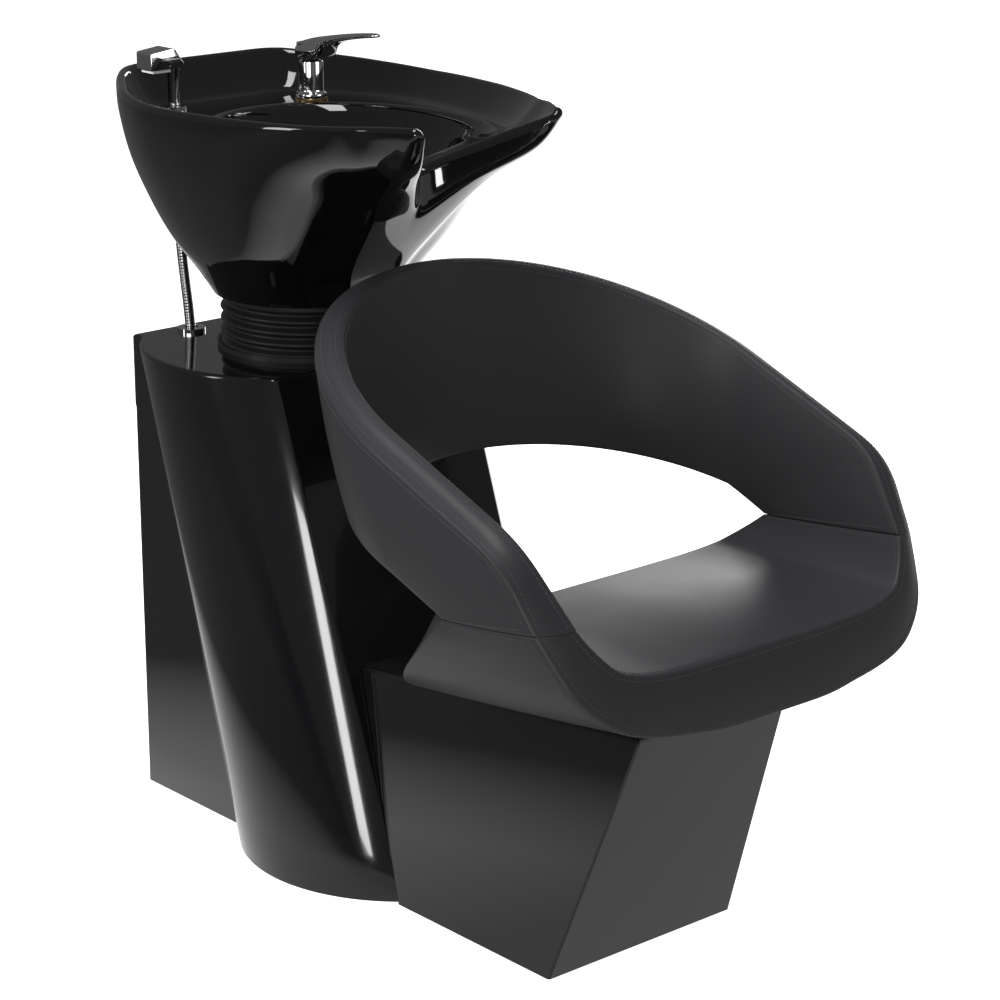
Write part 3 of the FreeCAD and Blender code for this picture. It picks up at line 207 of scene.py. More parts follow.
def makePiece(name, bm, material, body, sharpAngle=40, replaced=()):
    bmesh.ops.recalc_face_normals(bm, faces=bm.faces)
    mesh = bpy.data.meshes.new(name)
    bm.to_mesh(mesh)
    bm.free()
    piece = bpy.data.objects.new(name, mesh)
    bpy.context.scene.collection.objects.link(piece)
    mesh.materials.append(material)
    mesh.shade_smooth()
    mesh.set_sharp_from_angle(angle=math.radians(sharpAngle))
    if body:
        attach(piece, body)
    if replaced:
        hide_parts(*replaced)
    return piece


# A thin shell: the piece gets a wall on its inside
def thicken(piece, wall):
    thick = piece.modifiers.new("wall", "SOLIDIFY")
    thick.thickness = wall * mm
    thick.offset = -1
    evenNormals = piece.modifiers.new("normals", "WEIGHTED_NORMAL")
    evenNormals.keep_sharp = True


def roundEdges(bm, edges, radius, segments):
    bmesh.ops.bevel(bm, geom=edges, offset=radius * mm, affect="EDGES", segments=segments, profile=0.5,
                    material=-1, clamp_overlap=True)


# A turned piece: (radius, height) points spun about an upright axis at x, y
def turned(bm, profile, x, y, segments=64):
    start = [bm.verts.new((x * mm + r * mm, y * mm, z * mm)) for r, z in profile]
    edges = [bm.edges.new(pair) for pair in zip(start, start[1:])]
    bmesh.ops.spin(bm, geom=start + edges, cent=(x * mm, y * mm, 0), axis=(0, 0, 1), angle=2 * math.pi,
                   steps=segments, use_merge=True)
    bmesh.ops.remove_doubles(bm, verts=bm.verts, dist=1e-6)


# Column: a leaning drum and a box in one skin; its rear wall has lines round the door but no opening
column = {"half": 153, "rear": 494, "top": 642, "drum": ((114, 222), (326, 213.5)), "front": (-55, 176),
          "wall": 6, "doorway": (110, 58, 542), "topRound": 9, "creaseRound": 2.5}


def columnRing(z):
    share = z / column["top"]
    centre = lerp(column["drum"][0][0], column["drum"][1][0], share)
    radius = lerp(column["drum"][0][1], column["drum"][1][1], share)
    front = lerp(column["front"][0], column["front"][1], share)
    half, rear = column["half"], column["rear"]
    crease = math.sqrt(radius ** 2 - (front - centre) ** 2)
    startAngle = math.atan2(front - centre, crease)
    endAngle = math.acos(half / radius)
    right = [Vector((crease * i / 6, front, z)) for i in range(6)]
    for i in range(40):
        angle = lerp(startAngle, endAngle, i / 40)
        right.append(Vector((radius * math.cos(angle), centre + radius * math.sin(angle), z)))
    shoulder = centre + radius * math.sin(endAngle)
    right += [Vector((half, lerp(shoulder, rear, i / 4), z)) for i in range(4)]
    door = column["doorway"][0]
    right += [Vector((half, rear, z)), Vector((door, rear, z)), Vector((0, rear, z))]
    left = [Vector((-p.x, p.y, p.z)) for p in reversed(right[1:-1])]
    return right + left


def buildColumn():
    bm = bmesh.new()
    low, high = column["doorway"][1], column["doorway"][2]
    heights = [0, low] + [lerp(low, high, i / 6) for i in range(1, 6)] + [high, column["top"]]
    skin(bm, [columnRing(z) for z in heights], capLast=True)
    bmesh.ops.recalc_face_normals(bm, faces=bm.faces)
    top = column["top"] * mm
    rim = [e for e in bm.edges if all(abs(v.co.z - top) < 1e-6 for v in e.verts)]
    roundEdges(bm, rim, column["topRound"], 5)
    upright = [e for e in bm.edges if len(e.link_faces) == 2 and e.calc_face_angle(0) > math.radians(25)
               and max(v.co.z for v in e.verts) < top - column["topRound"] * mm * 0.9
               and abs(e.verts[0].co.z - e.verts[1].co.z) > 1e-4]
    roundEdges(bm, upright, column["creaseRound"], 3)
    piece = makePiece("columnSkin", bm, gelcoat, "base", 35, ["column_shell"])
    thicken(piece, column["wall"])


buildColumn()
print("column done")

# Plinth: a tapering box with its top tilted like the seat
plinth = {"half": 153, "topHalf": 121.6, "front": (-342, -464, 341.9), "rear": (-55, 48.7, 288.2),
          "topRound": 12, "edgeRound": 3, "wall": 6}


def buildPlinth():
    bm = bmesh.new()
    frontFoot, frontTop, frontLevel = plinth["front"]
    rearFoot, rearTop, rearLevel = plinth["rear"]
    half, topHalf = plinth["half"], plinth["topHalf"]
    rearHalf = lerp(half, topHalf, rearLevel / frontLevel)
    lowRing = [Vector((x, y, 0)) for x, y in
               ((-half, frontFoot), (half, frontFoot), (half, rearFoot), (-half, rearFoot))]
    highRing = [Vector((-topHalf, frontTop, frontLevel)), Vector((topHalf, frontTop, frontLevel)),
                Vector((rearHalf, rearTop, rearLevel)), Vector((-rearHalf, rearTop, rearLevel))]
    rows = skin(bm, [lowRing, highRing], capLast=True)
    bmesh.ops.recalc_face_normals(bm, faces=bm.faces)
    rim = [e for e in bm.edges if all(v in rows[1] for v in e.verts)]
    roundEdges(bm, rim, plinth["topRound"], 6)
    upright = [e for e in bm.edges if len(e.link_faces) == 2 and abs(e.verts[0].co.z - e.verts[1].co.z) > 0.1]
    roundEdges(bm, upright, plinth["edgeRound"], 3)
    piece = makePiece("plinthSkin", bm, gelcoat, "base", 35, ["plinth_shell"])
    thicken(piece, plinth["wall"])


buildPlinth()
print("plinth done")

# Gaiter: a rubber bellows between the column and the basin
gaiter = {"centre": 306, "low": 642.3, "high": 715.4, "crest": 116.5, "valley": 107, "foot": 6, "folds": 4,
          "wall": 3, "foldSteps": 12}


def buildGaiter():
    low, high = gaiter["low"], gaiter["high"]
    step = (high - low - 2 * gaiter["foot"]) / gaiter["folds"]
    outer = [(gaiter["crest"], low), (gaiter["crest"], low + gaiter["foot"])]
    middle = (gaiter["crest"] + gaiter["valley"]) / 2
    swing = (gaiter["crest"] - gaiter["valley"]) / 2
    foldSteps = gaiter["foldSteps"]
    for i in range(1, gaiter["folds"] * foldSteps + 1):
        wave = math.cos(2 * math.pi * i / foldSteps)
        radius = middle + swing * math.copysign(abs(wave) ** 0.7, wave)
        outer.append((radius, low + gaiter["foot"] + step * i / foldSteps))
    outer.append((gaiter["crest"], high))
    inner = [(r - gaiter["wall"], z) for r, z in reversed(outer)]
    bm = bmesh.new()
    turned(bm, outer + inner + outer[:1], 0, gaiter["centre"], 96)
    piece = makePiece("gaiterBellows", bm, rubber, None, 50, ["gaiter"])
    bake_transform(piece)


buildGaiter()
print("gaiter done")

# Basin: one glazed skin from its foot, up the hull, over the rim, across the deck and down the bowl
basin = {"rim": 978, "lift": 17, "half": 229.5, "front": -73, "rear": 541, "foot": 716, "collar": 126,
         "tilt": 306, "deck": 940, "bowlHalf": 165, "bowlFront": 5, "bowlRear": 412, "bowlBottom": 765,
         "drain": 254, "pan": 62, "underHole": 36, "neck": (72, 20, 1.5), "neckSoft": 8,
         "sill": (906, 12, 0.8), "reach": (90, 50), "deckInset": 38, "deckDrop": 14, "bowlInset": 53,
         "bowlDrop": 18, "fade": (0.445, 0.054), "columns": 360, "hullRings": 34, "bowlRings": 24,
         "rimRound": ((0.5, 5.5), (1.8, 2.6), (3.8, 0.8), (6.5, 0.0), (9.2, 0.6), (11.6, 2.4), (13.2, 5.4)),
         "rimFoot": 9, "drainRings": ((50, 764.6), (36, 764.4), (20.5, 764.2), (20.5, 752))}
# Half the rim in plan, as shares of half width and length; the rim's lift along its length
rimShares = [(0.0, 1.0), (0.261, 1.0), (0.471, 0.9967), (0.575, 0.9821), (0.658, 0.9528), (0.728, 0.9186),
             (0.793, 0.8795), (0.889, 0.8192), (0.959, 0.7459), (0.993, 0.6808), (1.0, 0.6075),
             (0.993, 0.5391), (0.967, 0.4609), (0.932, 0.3844), (0.88, 0.3111), (0.815, 0.241),
             (0.754, 0.1906), (0.684, 0.1433), (0.623, 0.0896), (0.549, 0.0423), (0.492, 0.0114),
             (0.392, 0.0016), (0.196, 0.0), (0.0, 0.0)]
liftShares = [(-0.08, 0.53), (0.06, 0.53), (0.163, 0.30), (0.252, 0.18), (0.388, 0.09), (0.526, 0.03),
              (0.648, 0.0), (0.770, 0.18), (0.852, 0.41), (0.933, 0.71), (1.0, 1.0), (1.08, 1.3)]
# How far down the hull turns into its collar, at the sides and in front, and the bowl into its pan
sideShares = [(0.0, 0.0), (0.10, 0.01), (0.30, 0.11), (0.52, 0.31), (0.72, 0.55), (0.88, 0.82), (1.0, 1.0)]
frontShares = [(0.0, 0.0), (0.15, 0.12), (0.35, 0.42), (0.65, 0.74), (0.85, 0.92), (1.0, 1.0)]
bowlShares = [(0.0, 0.0), (0.12, 0.06), (0.286, 0.22), (0.514, 0.47), (0.80, 0.78), (1.0, 1.0)]


# A value read from a table of (place, value)
def fromTable(table, place):
    for (a, low), (b, high) in zip(table, table[1:]):
        if place <= b:
            return lerp(low, high, clamped((place - a) / max(b - a, 1e-9), 0, 1))
    return table[-1][1]


def rimLoop():
    right = [Vector((a, b, 0)) for a, b in rimShares]
    loop = right + [Vector((-p.x, p.y, 0)) for p in reversed(right[1:-1])]
    scaled = [Vector((p.x * basin["half"], p.y * (basin["rear"] - basin["front"]), 0)) for p in loop]
    even = throughPoints(scaled, basin["columns"], True)
    return [(p.x / basin["half"], p.y / (basin["rear"] - basin["front"])) for p in even]


def rimTop(y):
    share = (y - basin["front"]) / (basin["rear"] - basin["front"])
    return basin["rim"] + basin["lift"] * fromTable(liftTable, share)


# The neck's wedge between the two horns: how far back it reaches at x, drawn back by a wall
def neckLine(x, wall=0):
    nose, bend, slope = basin["neck"]
    return nose + bend + wall * math.hypot(1, slope) - math.hypot(bend, slope * x)


# A point's y kept behind the wedge, with a soft change between the two
def behindNeck(x, y, wall=0):
    line = neckLine(x, wall)
    return (y + line + math.hypot(y - line, basin["neckSoft"])) / 2


# The highest line at a point: the neck's sill near the wedge, the rim's top elsewhere
def crestLevel(x, y):
    low, bend, rise = basin["sill"]
    top = rimTop(y)
    sill = low - bend + math.hypot(bend, rise * x)
    start, spread = basin["reach"]
    return min(top, lerp(sill, top, smoothStep((y - neckLine(x) - start) / spread)))


def denseTable(table):
    return [(p.x, p.y) for p in throughPoints([(a, b, 0) for a, b in table], 120)]


sideTable, frontTable = denseTable(sideShares), denseTable(frontShares)
bowlTable, liftTable = denseTable(bowlShares), denseTable(liftShares)


def buildBasin():
    loop = rimLoop()
    rim, foot, tilt = basin["rim"], basin["foot"], basin["tilt"]
    far, near = basin["fade"]

    def outline(inset, z):
        half = basin["half"] - inset
        front = basin["front"] + inset
        length = basin["rear"] - inset - front
        radius = basin["collar"] - inset
        down = max(rim - z, 0) / (rim - foot)
        side, ahead = fromTable(sideTable, down), fromTable(frontTable, down)
        out = []
        for a, b in loop:
            x, y = half * a, front + length * b
            turnedShare = lerp(side, ahead, smoothStep((far - b) / (far - near)))
            bearing = math.atan2(x, y - tilt)
            x = lerp(x, radius * math.sin(bearing), turnedShare)
            y = lerp(y, tilt + radius * math.cos(bearing), turnedShare)
            out.append((x, behindNeck(x, y, inset)))
        return out

    # The highest line of the hull under each point of the rim
    crest = [crestLevel(x, y) for x, y in outline(0, rim)]
    rings = []
    levels = 80
    ceiling = rim + 20
    tables = [outline(0, lerp(foot, ceiling, i / levels)) for i in range(levels + 1)]

    def hullPoint(index, z):
        place = clamped((z - foot) / (ceiling - foot) * levels, 0, levels - 0.001)
        k = int(place)
        a, b = tables[k][index], tables[k + 1][index]
        return Vector((lerp(a[0], b[0], place - k), lerp(a[1], b[1], place - k), z))

    for i in range(basin["hullRings"]):
        share = i / (basin["hullRings"] - 1)
        rings.append([hullPoint(k, lerp(foot, crest[k] - basin["rimFoot"], share)) for k in range(len(loop))])
    topRing = [hullPoint(k, crest[k]) for k in range(len(loop))]

    # 0 on the rim and 1 on the neck's sill
    dip = [smoothStep((rim + 6 - c) / 26) for c in crest]

    # Drawn in towards the middle on the rim, and straight back on the neck's sill
    def inward(point, inset, z, share):
        middle = basin["bowlRear"] * 0.55
        scaleX = (basin["half"] - inset) / basin["half"]
        scaleY = 1 - 2 * inset / (basin["rear"] - basin["front"])
        drawn = Vector((point.x * scaleX, middle + (point.y - middle) * scaleY, z))
        return drawn.lerp(Vector((point.x, point.y + inset * 1.8, z)), share)

    for inset, drop in basin["rimRound"]:
        rings.append([inward(p, inset, c - drop * (1 + 0.8 * d), d) for p, c, d in zip(topRing, crest, dip)])
    lastRim = rings[-1]
    middle = (basin["bowlFront"] + basin["bowlRear"]) / 2
    halfLength = (basin["bowlRear"] - basin["bowlFront"]) / 2
    deckRing = []
    for (x, y), d in zip(outline(basin["deckInset"], basin["deck"]), dip):
        deckRing.append(Vector((x, y, min(basin["deck"], crestLevel(x, y) - basin["deckDrop"] * d))))
    for share, fall in ((0.12, 0.2), (0.3, 0.46), (0.5, 0.70), (0.68, 0.87), (0.84, 0.97)):
        rings.append([Vector((lerp(a.x, b.x, share), lerp(a.y, b.y, share), lerp(a.z, b.z, fall)))
                      for a, b in zip(lastRim, deckRing)])
    rings.append(deckRing)
    phases = [math.atan2(p.x / basin["bowlHalf"], (p.y - middle) / halfLength) for p in deckRing]

    def bowlRing(grow, z, turnedShare):
        ring = []
        for phase in phases:
            x = (basin["bowlHalf"] + grow) * math.sin(phase)
            y = middle + (halfLength + grow) * math.cos(phase)
            px, py = basin["pan"] * math.sin(phase), basin["drain"] + basin["pan"] * math.cos(phase)
            y = behindNeck(x, y, basin["bowlInset"] - grow)
            level = min(z, crestLevel(x, y) - basin["bowlDrop"] - (basin["deck"] - z))
            ring.append(Vector((lerp(x, px, turnedShare), lerp(y, py, turnedShare), level)))
        return ring

    edge = bowlRing(9, basin["deck"], 0)
    for share in (0.25, 0.5, 0.75):
        rings.append([a.lerp(b, share) for a, b in zip(deckRing, edge)])
    rings.append(edge)
    rings.append(bowlRing(5.5, basin["deck"] - 0.8, 0))
    rings.append(bowlRing(2.4, basin["deck"] - 3.0, 0.005))
    deep = basin["deck"] - basin["bowlBottom"]
    for i in range(2, basin["bowlRings"] + 1):
        share = i / basin["bowlRings"]
        z = basin["deck"] - deep * share
        ring = bowlRing(0, z, fromTable(bowlTable, share))
        rings.append([Vector((p.x, p.y, lerp(p.z, z, smoothStep(share * 1.6)))) for p in ring])

    def aboutDrain(radius, z):
        return [Vector((radius * math.sin(a), basin["drain"] + radius * math.cos(a), z)) for a in phases]

    rings += [aboutDrain(radius, z) for radius, z in basin["drainRings"]]
    bm = bmesh.new()
    rows = skin(bm, rings)
    under = [bm.verts.new(p * mm) for p in aboutDrain(basin["underHole"], foot)]
    for i in range(len(under)):
        j = (i + 1) % len(under)
        bm.faces.new((rows[0][i], rows[0][j], under[j], under[i]))
    makePiece("basinGlaze", bm, glaze, "basin", 55, ["basin", "basin_hull"])


buildBasin()
print("basin done")

# Tub chair: four edge lines run from the seat's middle out to the seam, up the arms and round the back
chair = {"half": 316, "wall": 35, "centre": -222, "rise": 0.371, "outerTop": 665, "innerLift": 17,
         "outerFoot": 10, "innerFoot": 23, "lean": 40, "footOuter": 524, "footInner": 512, "footRise": 0.19,
         "armFront": -437, "armLead": 10, "bend": 40, "seam": (479, 0.118), "gap": 0.2, "edgeRound": 6,
         "seamRound": 2.2, "crowns": (4, 3, 4, 3), "seatCrown": 7, "steps": (26, 10, 26, 10)}
# Seat: y, z, thickness, lean and the inner edge's lead at its front and rear, and half its trough's profile
seat = {"front": (-568, 371, 79, 0.61, -26), "rear": (-150, 325, 115, -1.1, 50), "half": 306, "rise": 175,
        "outer": [(0.0, 0.0), (0.28, 0.004), (0.42, 0.03), (0.56, 0.06), (0.67, 0.10), (0.75, 0.15),
                  (0.82, 0.225), (0.882, 0.32), (0.925, 0.426), (0.954, 0.553), (0.978, 0.68), (0.998, 0.806),
                  (1.015, 1.0)],
        "inner": [(0.0, 0.0), (0.34, 0.0), (0.54, 0.02), (0.655, 0.075), (0.732, 0.156), (0.788, 0.333),
                  (0.824, 0.49), (0.853, 0.667), (0.88, 1.0)]}


# Points round one section: corners rounded, sides slightly crowned; sideSteps gives the points on each side
def sectionRing(corners, sideSteps, crowns, radius):
    count = len(corners)
    middle = sum(corners, Vector()) / count
    ring = []
    for k in range(count):
        before, here, after = corners[k - 1], corners[k], corners[(k + 1) % count]
        back, ahead = (before - here).normalized(), (after - here).normalized()
        a, b = here + back * radius, here + ahead * radius
        for i in range(5):
            t = i / 4
            ring.append(a * ((1 - t) ** 2) + here * (2 * t * (1 - t)) + b * (t * t))
        end = after - ahead * radius
        away = (b + end) / 2 - middle
        away = (away - ahead * away.dot(ahead)).normalized()
        for i in range(1, sideSteps[k]):
            t = i / sideSteps[k]
            ring.append(b.lerp(end, t) + away * (crowns[k] * 4 * t * (1 - t)))
    return ring


# Where the corner's arc and the side after it start in a ring
def cornerStart(sideSteps, k):
    return sum(4 + steps for steps in sideSteps[:k])


def footReach(radius, shift, angle):
    return -shift * math.sin(angle) + math.sqrt(radius ** 2 - (shift * math.cos(angle)) ** 2)


# Outer foot, outer top, inner top and inner foot of the back at an angle round it
def backCorners(angle):
    centre = chair["centre"]

    def at(reach, level, slope):
        y = centre + reach * math.sin(angle)
        return Vector((math.cos(angle) * reach, y, level + slope * (y - centre)))

    outer, inner = chair["half"], chair["half"] - chair["wall"]
    outerFoot = footReach(outer - chair["outerFoot"], chair["lean"], angle)
    innerFoot = footReach(inner - chair["innerFoot"], chair["lean"], angle)
    return [at(outerFoot, chair["footOuter"], chair["footRise"]),
            at(outer, chair["outerTop"], chair["rise"]),
            at(inner, chair["outerTop"] + chair["innerLift"], chair["rise"]),
            at(innerFoot, chair["footInner"], chair["footRise"])]


def seamLevel(y):
    return chair["seam"][0] - chair["seam"][1] * (y - chair["centre"])


# One edge of the seat from its middle to the seam
def seatEdge(end, which, gap, count):
    y, z, thick, lean, lead = seat[end]
    floor, shift = (thick, lead) if which == "inner" else (0, 0)
    room = seat["rise"] - floor
    mirror = [(-a, b) for a, b in reversed(seat[which][1:])]
    points = [(a * seat["half"], y + lean * (floor + room * b) + shift, z + floor + room * b)
              for a, b in mirror + seat[which]]
    fine = 1600
    dense = throughPoints(points, 2 * fine + 1)[fine:]
    return evenly([p for p in dense if p.z < seamLevel(p.y) + gap], count)


def seatEdges(gap, count):
    return [seatEdge(end, which, gap, count)
            for end, which in (("rear", "outer"), ("front", "outer"), ("front", "inner"), ("rear", "inner"))]


# An arm's edge from the seam up the front, round the bend and along the top
def armEdge(start, corner, end, count):
    a = corner + (start - corner).normalized() * chair["bend"]
    b = corner + (end - corner).normalized() * chair["bend"]
    turn = []
    for i in range(13):
        t = i / 12
        turn.append(a * ((1 - t) ** 2) + corner * (2 * t * (1 - t)) + b * (t * t))
    return evenly([start] + turn + [end], count)


def armStations(gap, count):
    rearOut, frontOut, frontIn, rearIn = [edge[-1] for edge in seatEdges(gap, 9)]
    footOut, topOut, topIn, footIn = backCorners(0)
    y = chair["armFront"]
    z = topOut.z + chair["rise"] * (y - topOut.y)
    lift = chair["innerLift"]
    outerCorner = Vector((topOut.x, y, z))
    innerCorner = Vector((topIn.x, y + seat["front"][3] * lift - chair["armLead"], z + lift))
    edges = [evenly([rearOut, footOut], count), armEdge(frontOut, outerCorner, topOut, count),
             armEdge(frontIn, innerCorner, topIn, count), evenly([rearIn, footIn], count)]
    return [list(corners) for corners in zip(*edges)]


# The last rings before the seam: the section closes in a little so that the seam reads as a crease
def seamRings(last, previous):
    size = chair["seamRound"]
    rings = []
    for i in range(5):
        turn = math.pi / 2 * i / 4
        back, inset = size * (1 - math.sin(turn)), size * (1 - math.cos(turn))
        moved = [c + (p - c).normalized() * back for c, p in zip(last, previous)]
        tucked = []
        # The band between corners 1 and 2 runs on over the seam, so it isn't tucked in
        for k in range(4):
            here = moved[k]
            before, after = (moved[k - 1] - here).normalized(), (moved[(k + 1) % 4] - here).normalized()
            tucked.append(here + before * (0 if k == 1 else inset) + after * (0 if k == 2 else inset))
        rings.append(sectionRing(tucked, chair["steps"], chair["crowns"], chair["edgeRound"]))
    return rings


def flipped(rings):
    return [[Vector((-p.x, p.y, p.z)) for p in ring] for ring in rings]


def buildSeat():
    stations = [list(corners) for corners in zip(*seatEdges(-chair["gap"], 61))]
    last = len(stations) - 1
    half = []
    for i, corners in enumerate(stations[:-1]):
        out = smoothStep(i / last)
        outer, front, inner, rear = chair["crowns"]
        crowns = (outer * out, front, lerp(chair["seatCrown"], inner, out), rear)
        half.append(sectionRing(corners, chair["steps"], crowns, chair["edgeRound"]))
    half += seamRings(stations[-1], stations[-2])
    rings = flipped(half[:0:-1]) + half
    bm = bmesh.new()
    skin(bm, rings, capFirst=True, capLast=True)
    piece = makePiece("seatCushion", bm, vinyl, "base", 50, ["seat_cushion"])
    return rings


def buildBack():
    stations = armStations(chair["gap"], 45)
    half = seamRings(stations[0], stations[1])[::-1]
    turns = 36
    stations += [backCorners(math.pi / 2 * i / turns) for i in range(1, turns + 1)]
    half += [sectionRing(corners, chair["steps"], chair["crowns"], chair["edgeRound"])
             for corners in stations[1:]]
    rings = half + flipped(half[-2::-1])
    bm = bmesh.new()
    skin(bm, rings, capFirst=True, capLast=True)
    piece = makePiece("backCushion", bm, vinyl, "base", 50, ["back_cushion"])
    return rings


seatRings = buildSeat()
backRings = buildBack()
print("chair done")

# Stitches: short raised threads in rows beside the edges and seams
stitch = {"long": 4.4, "gap": 1.8, "radius": 0.5, "raised": 0.15, "sides": 5, "edge": 8, "seam": 6}


# The place at a distance along a ring from the middle of a corner's arc, and the way out of the surface there
def besideCorner(rings, row, corner, distance):
    ring = rings[row]
    count = len(ring)
    index = cornerStart(chair["steps"], corner) + 2
    step = 1 if distance > 0 else -1
    left = abs(distance)
    while True:
        a, b = ring[index % count], ring[(index + step) % count]
        span = (b - a).length
        if span >= left:
            break
        left -= span
        index += step
    return a.lerp(b, left / span), wayOut(rings, row, index)


def wayOut(rings, row, index):
    ring = rings[row]
    count = len(ring)
    before, after = rings[max(row - 1, 0)], rings[min(row + 1, len(rings) - 1)]
    along = after[index % count] - before[index % count]
    out = along.cross(ring[(index + 1) % count] - ring[(index - 1) % count]).normalized()
    middle = sum(ring, Vector()) / count
    return out if out.dot(ring[index % count] - middle) > 0 else -out


def sewRow(bm, places):
    points = [p + out * stitch["raised"] for p, out in places]
    reach = [0.0]
    for a, b in zip(points, points[1:]):
        reach.append(reach[-1] + (b - a).length)
    pitch = stitch["long"] + stitch["gap"]
    ring = [2 * math.pi * k / stitch["sides"] for k in range(stitch["sides"])]

    def at(distance):
        for i in range(len(points) - 1):
            if distance <= reach[i + 1]:
                t = (distance - reach[i]) / max(reach[i + 1] - reach[i], 1e-9)
                return points[i].lerp(points[i + 1], t), places[i][1]
        return points[-1], places[-1][1]

    for n in range(int(reach[-1] / pitch)):
        rows = []
        for share, thick in ((0.0, 0.35), (0.25, 1.0), (0.75, 1.0), (1.0, 0.35)):
            here, out = at(n * pitch + stitch["long"] * share)
            ahead = at(n * pitch + stitch["long"] * share + 0.5)[0]
            along = (ahead - here).normalized() if (ahead - here).length > 1e-9 else Vector((0, 1, 0))
            side = along.cross(out).normalized()
            radius = stitch["radius"] * thick
            rows.append([here + (side * math.cos(a) + out * math.sin(a)) * radius for a in ring])
        skin(bm, rows, capFirst=True, capLast=True)


def buildStitches():
    bm = bmesh.new()
    edge = stitch["edge"]
    for rings in (backRings, seatRings):
        rows = range(4, len(rings) - 4)
        for corner in (1, 2):
            for distance in (-edge, edge):
                sewRow(bm, [besideCorner(rings, row, corner, distance) for row in rows])
    # One row along each side of the seams, on the outer and the inner panel
    starts = [cornerStart(chair["steps"], corner) for corner in (1, 2, 3)]
    for rings in (backRings, seatRings):
        for end in (0, -1):
            row = seamRow(rings, end)
            for first, last in ((3, starts[0] - 1), (starts[1] + 6, starts[2])):
                sewRow(bm, [(rings[row][i], wayOut(rings, row, i)) for i in range(first, last)])
    makePiece("stitching", bm, thread, "base", 60)


# The ring nearest to the stitches' distance from a seam, counted from either end
def seamRow(rings, end):
    first = rings[end]
    rows = range(len(rings) // 4) if end == 0 else range(len(rings) - 1, 3 * len(rings) // 4, -1)
    probe = cornerStart(chair["steps"], 1)
    return min(rows, key=lambda row: abs((rings[row][probe] - first[probe]).length - stitch["seam"]))


buildStitches()
print("stitches done")

# Mixer tap: a turned body, and a lever that sweeps out of the dome over it
mixer = {"place": (92, 412), "cavity": (19, 1017), "shank": (8, 883, 943),
         "body": [(0, 943), (19.8, 943), (20.5, 944), (20.5, 948.5), (19.6, 950.5), (17.6, 951.6),
                  (16.7, 953), (16.5, 955), (16.5, 990.5), (16, 992.4), (15, 993), (0, 993)],
         "wide": [(-21.5, 0.6), (-20.5, 6.5), (-18, 11.8), (-12, 17.8), (-5, 20.9), (0, 21.5), (10, 21.6),
                  (20, 20.6), (30, 18.4), (40, 16.2), (60, 13.2), (90, 10.4), (120, 8.6), (137, 7.6),
                  (141, 6.4), (142, 3.6)],
         "top": [(-21.5, 1004), (-20.5, 1009), (-18, 1013), (-12, 1017.5), (-5, 1020.6), (0, 1022),
                 (10, 1024.6), (30, 1028.6), (60, 1033.8), (90, 1038.4), (120, 1042), (137, 1043.4),
                 (141, 1043), (142, 1041.6)],
         "under": [(-21.5, 1000.5), (-20.5, 999.4), (-18, 999), (24, 999), (30, 1000.5), (34, 1004.5),
                   (38, 1011), (43, 1016.2), (60, 1022.4), (90, 1030), (120, 1035.6), (137, 1038),
                   (141, 1038.4), (142, 1039.6)]}


def buildMixer():
    x, y = mixer["place"]
    bm = bmesh.new()
    turned(bm, mixer["body"], x, y)
    shank, low, high = mixer["shank"]
    turned(bm, [(0, low), (shank, low), (shank, high), (0, high)], x, y, 32)
    makePiece("mixerBody", bm, chrome, "basin", 40, ["mixer_body"])
    wide, top, under = [denseTable(mixer[key]) for key in ("wide", "top", "under")]
    radius, ceiling = mixer["cavity"]
    reaches = [-21.5, -21.2, -20.6, -19.6] + [-18.9 + 37.8 * i / 26 for i in range(27)]
    reaches += [20 + i * 1.5 for i in range(18)] + [48 + i * 5 for i in range(18)]
    reaches += [136, 138.5, 140.5, 141.5, 142]
    stations = []
    for reach in reaches:
        half, high, low = fromTable(wide, reach), fromTable(top, reach), fromTable(under, reach)
        shoulder = low + min(0.42 * (high - low), 8)
        ring = []
        for i in range(33):
            angle = math.pi * i / 32
            out, up = math.cos(angle), math.sin(angle)
            across = half * math.copysign(abs(out) ** 0.86, out)
            ring.append((across, shoulder + (high - shoulder) * up ** 0.92))
        inside = math.sqrt(max(radius ** 2 - reach ** 2, 0)) if abs(reach) < radius else 0
        roof = ceiling if inside else low
        ring += [(-half * 0.97, low + 1.2), (-max(half * 0.9, inside), low)]
        ring += [(-inside, low), (-inside, roof), (inside, roof), (inside, low)]
        ring += [(max(half * 0.9, inside), low), (half * 0.97, low + 1.2)]
        stations.append([Vector((x + a, y - reach, z)) for a, z in ring])
    bm = bmesh.new()
    skin(bm, stations, capFirst=True, capLast=True)
    bmesh.ops.remove_doubles(bm, verts=bm.verts, dist=1e-6)
    bmesh.ops.dissolve_degenerate(bm, edges=bm.edges, dist=1e-7)
    makePiece("mixerLever", bm, chrome, "mixer_lever", 50, ["mixer_lever"])


buildMixer()
print("mixer done")

# Hand spray: a slim handle and a head that slopes down into it, with a pale plate under its free end
spray = {"place": (-92, 468), "foot": 946.4, "head": (-138, 52, 34, 996.4, 27), "round": 7.5,
         "handle": [(0, 0), (8, 0), (8.6, 1), (8.2, 4), (8.2, 30), (8.8, 42), (10.5, 52), (0, 52)],
         "outline": [(0.0, 0.0), (0.0, 0.80), (0.03, 0.86), (0.66, 1.0), (0.74, 0.96), (1.0, 0.24),
                     (1.0, 0.0)]}


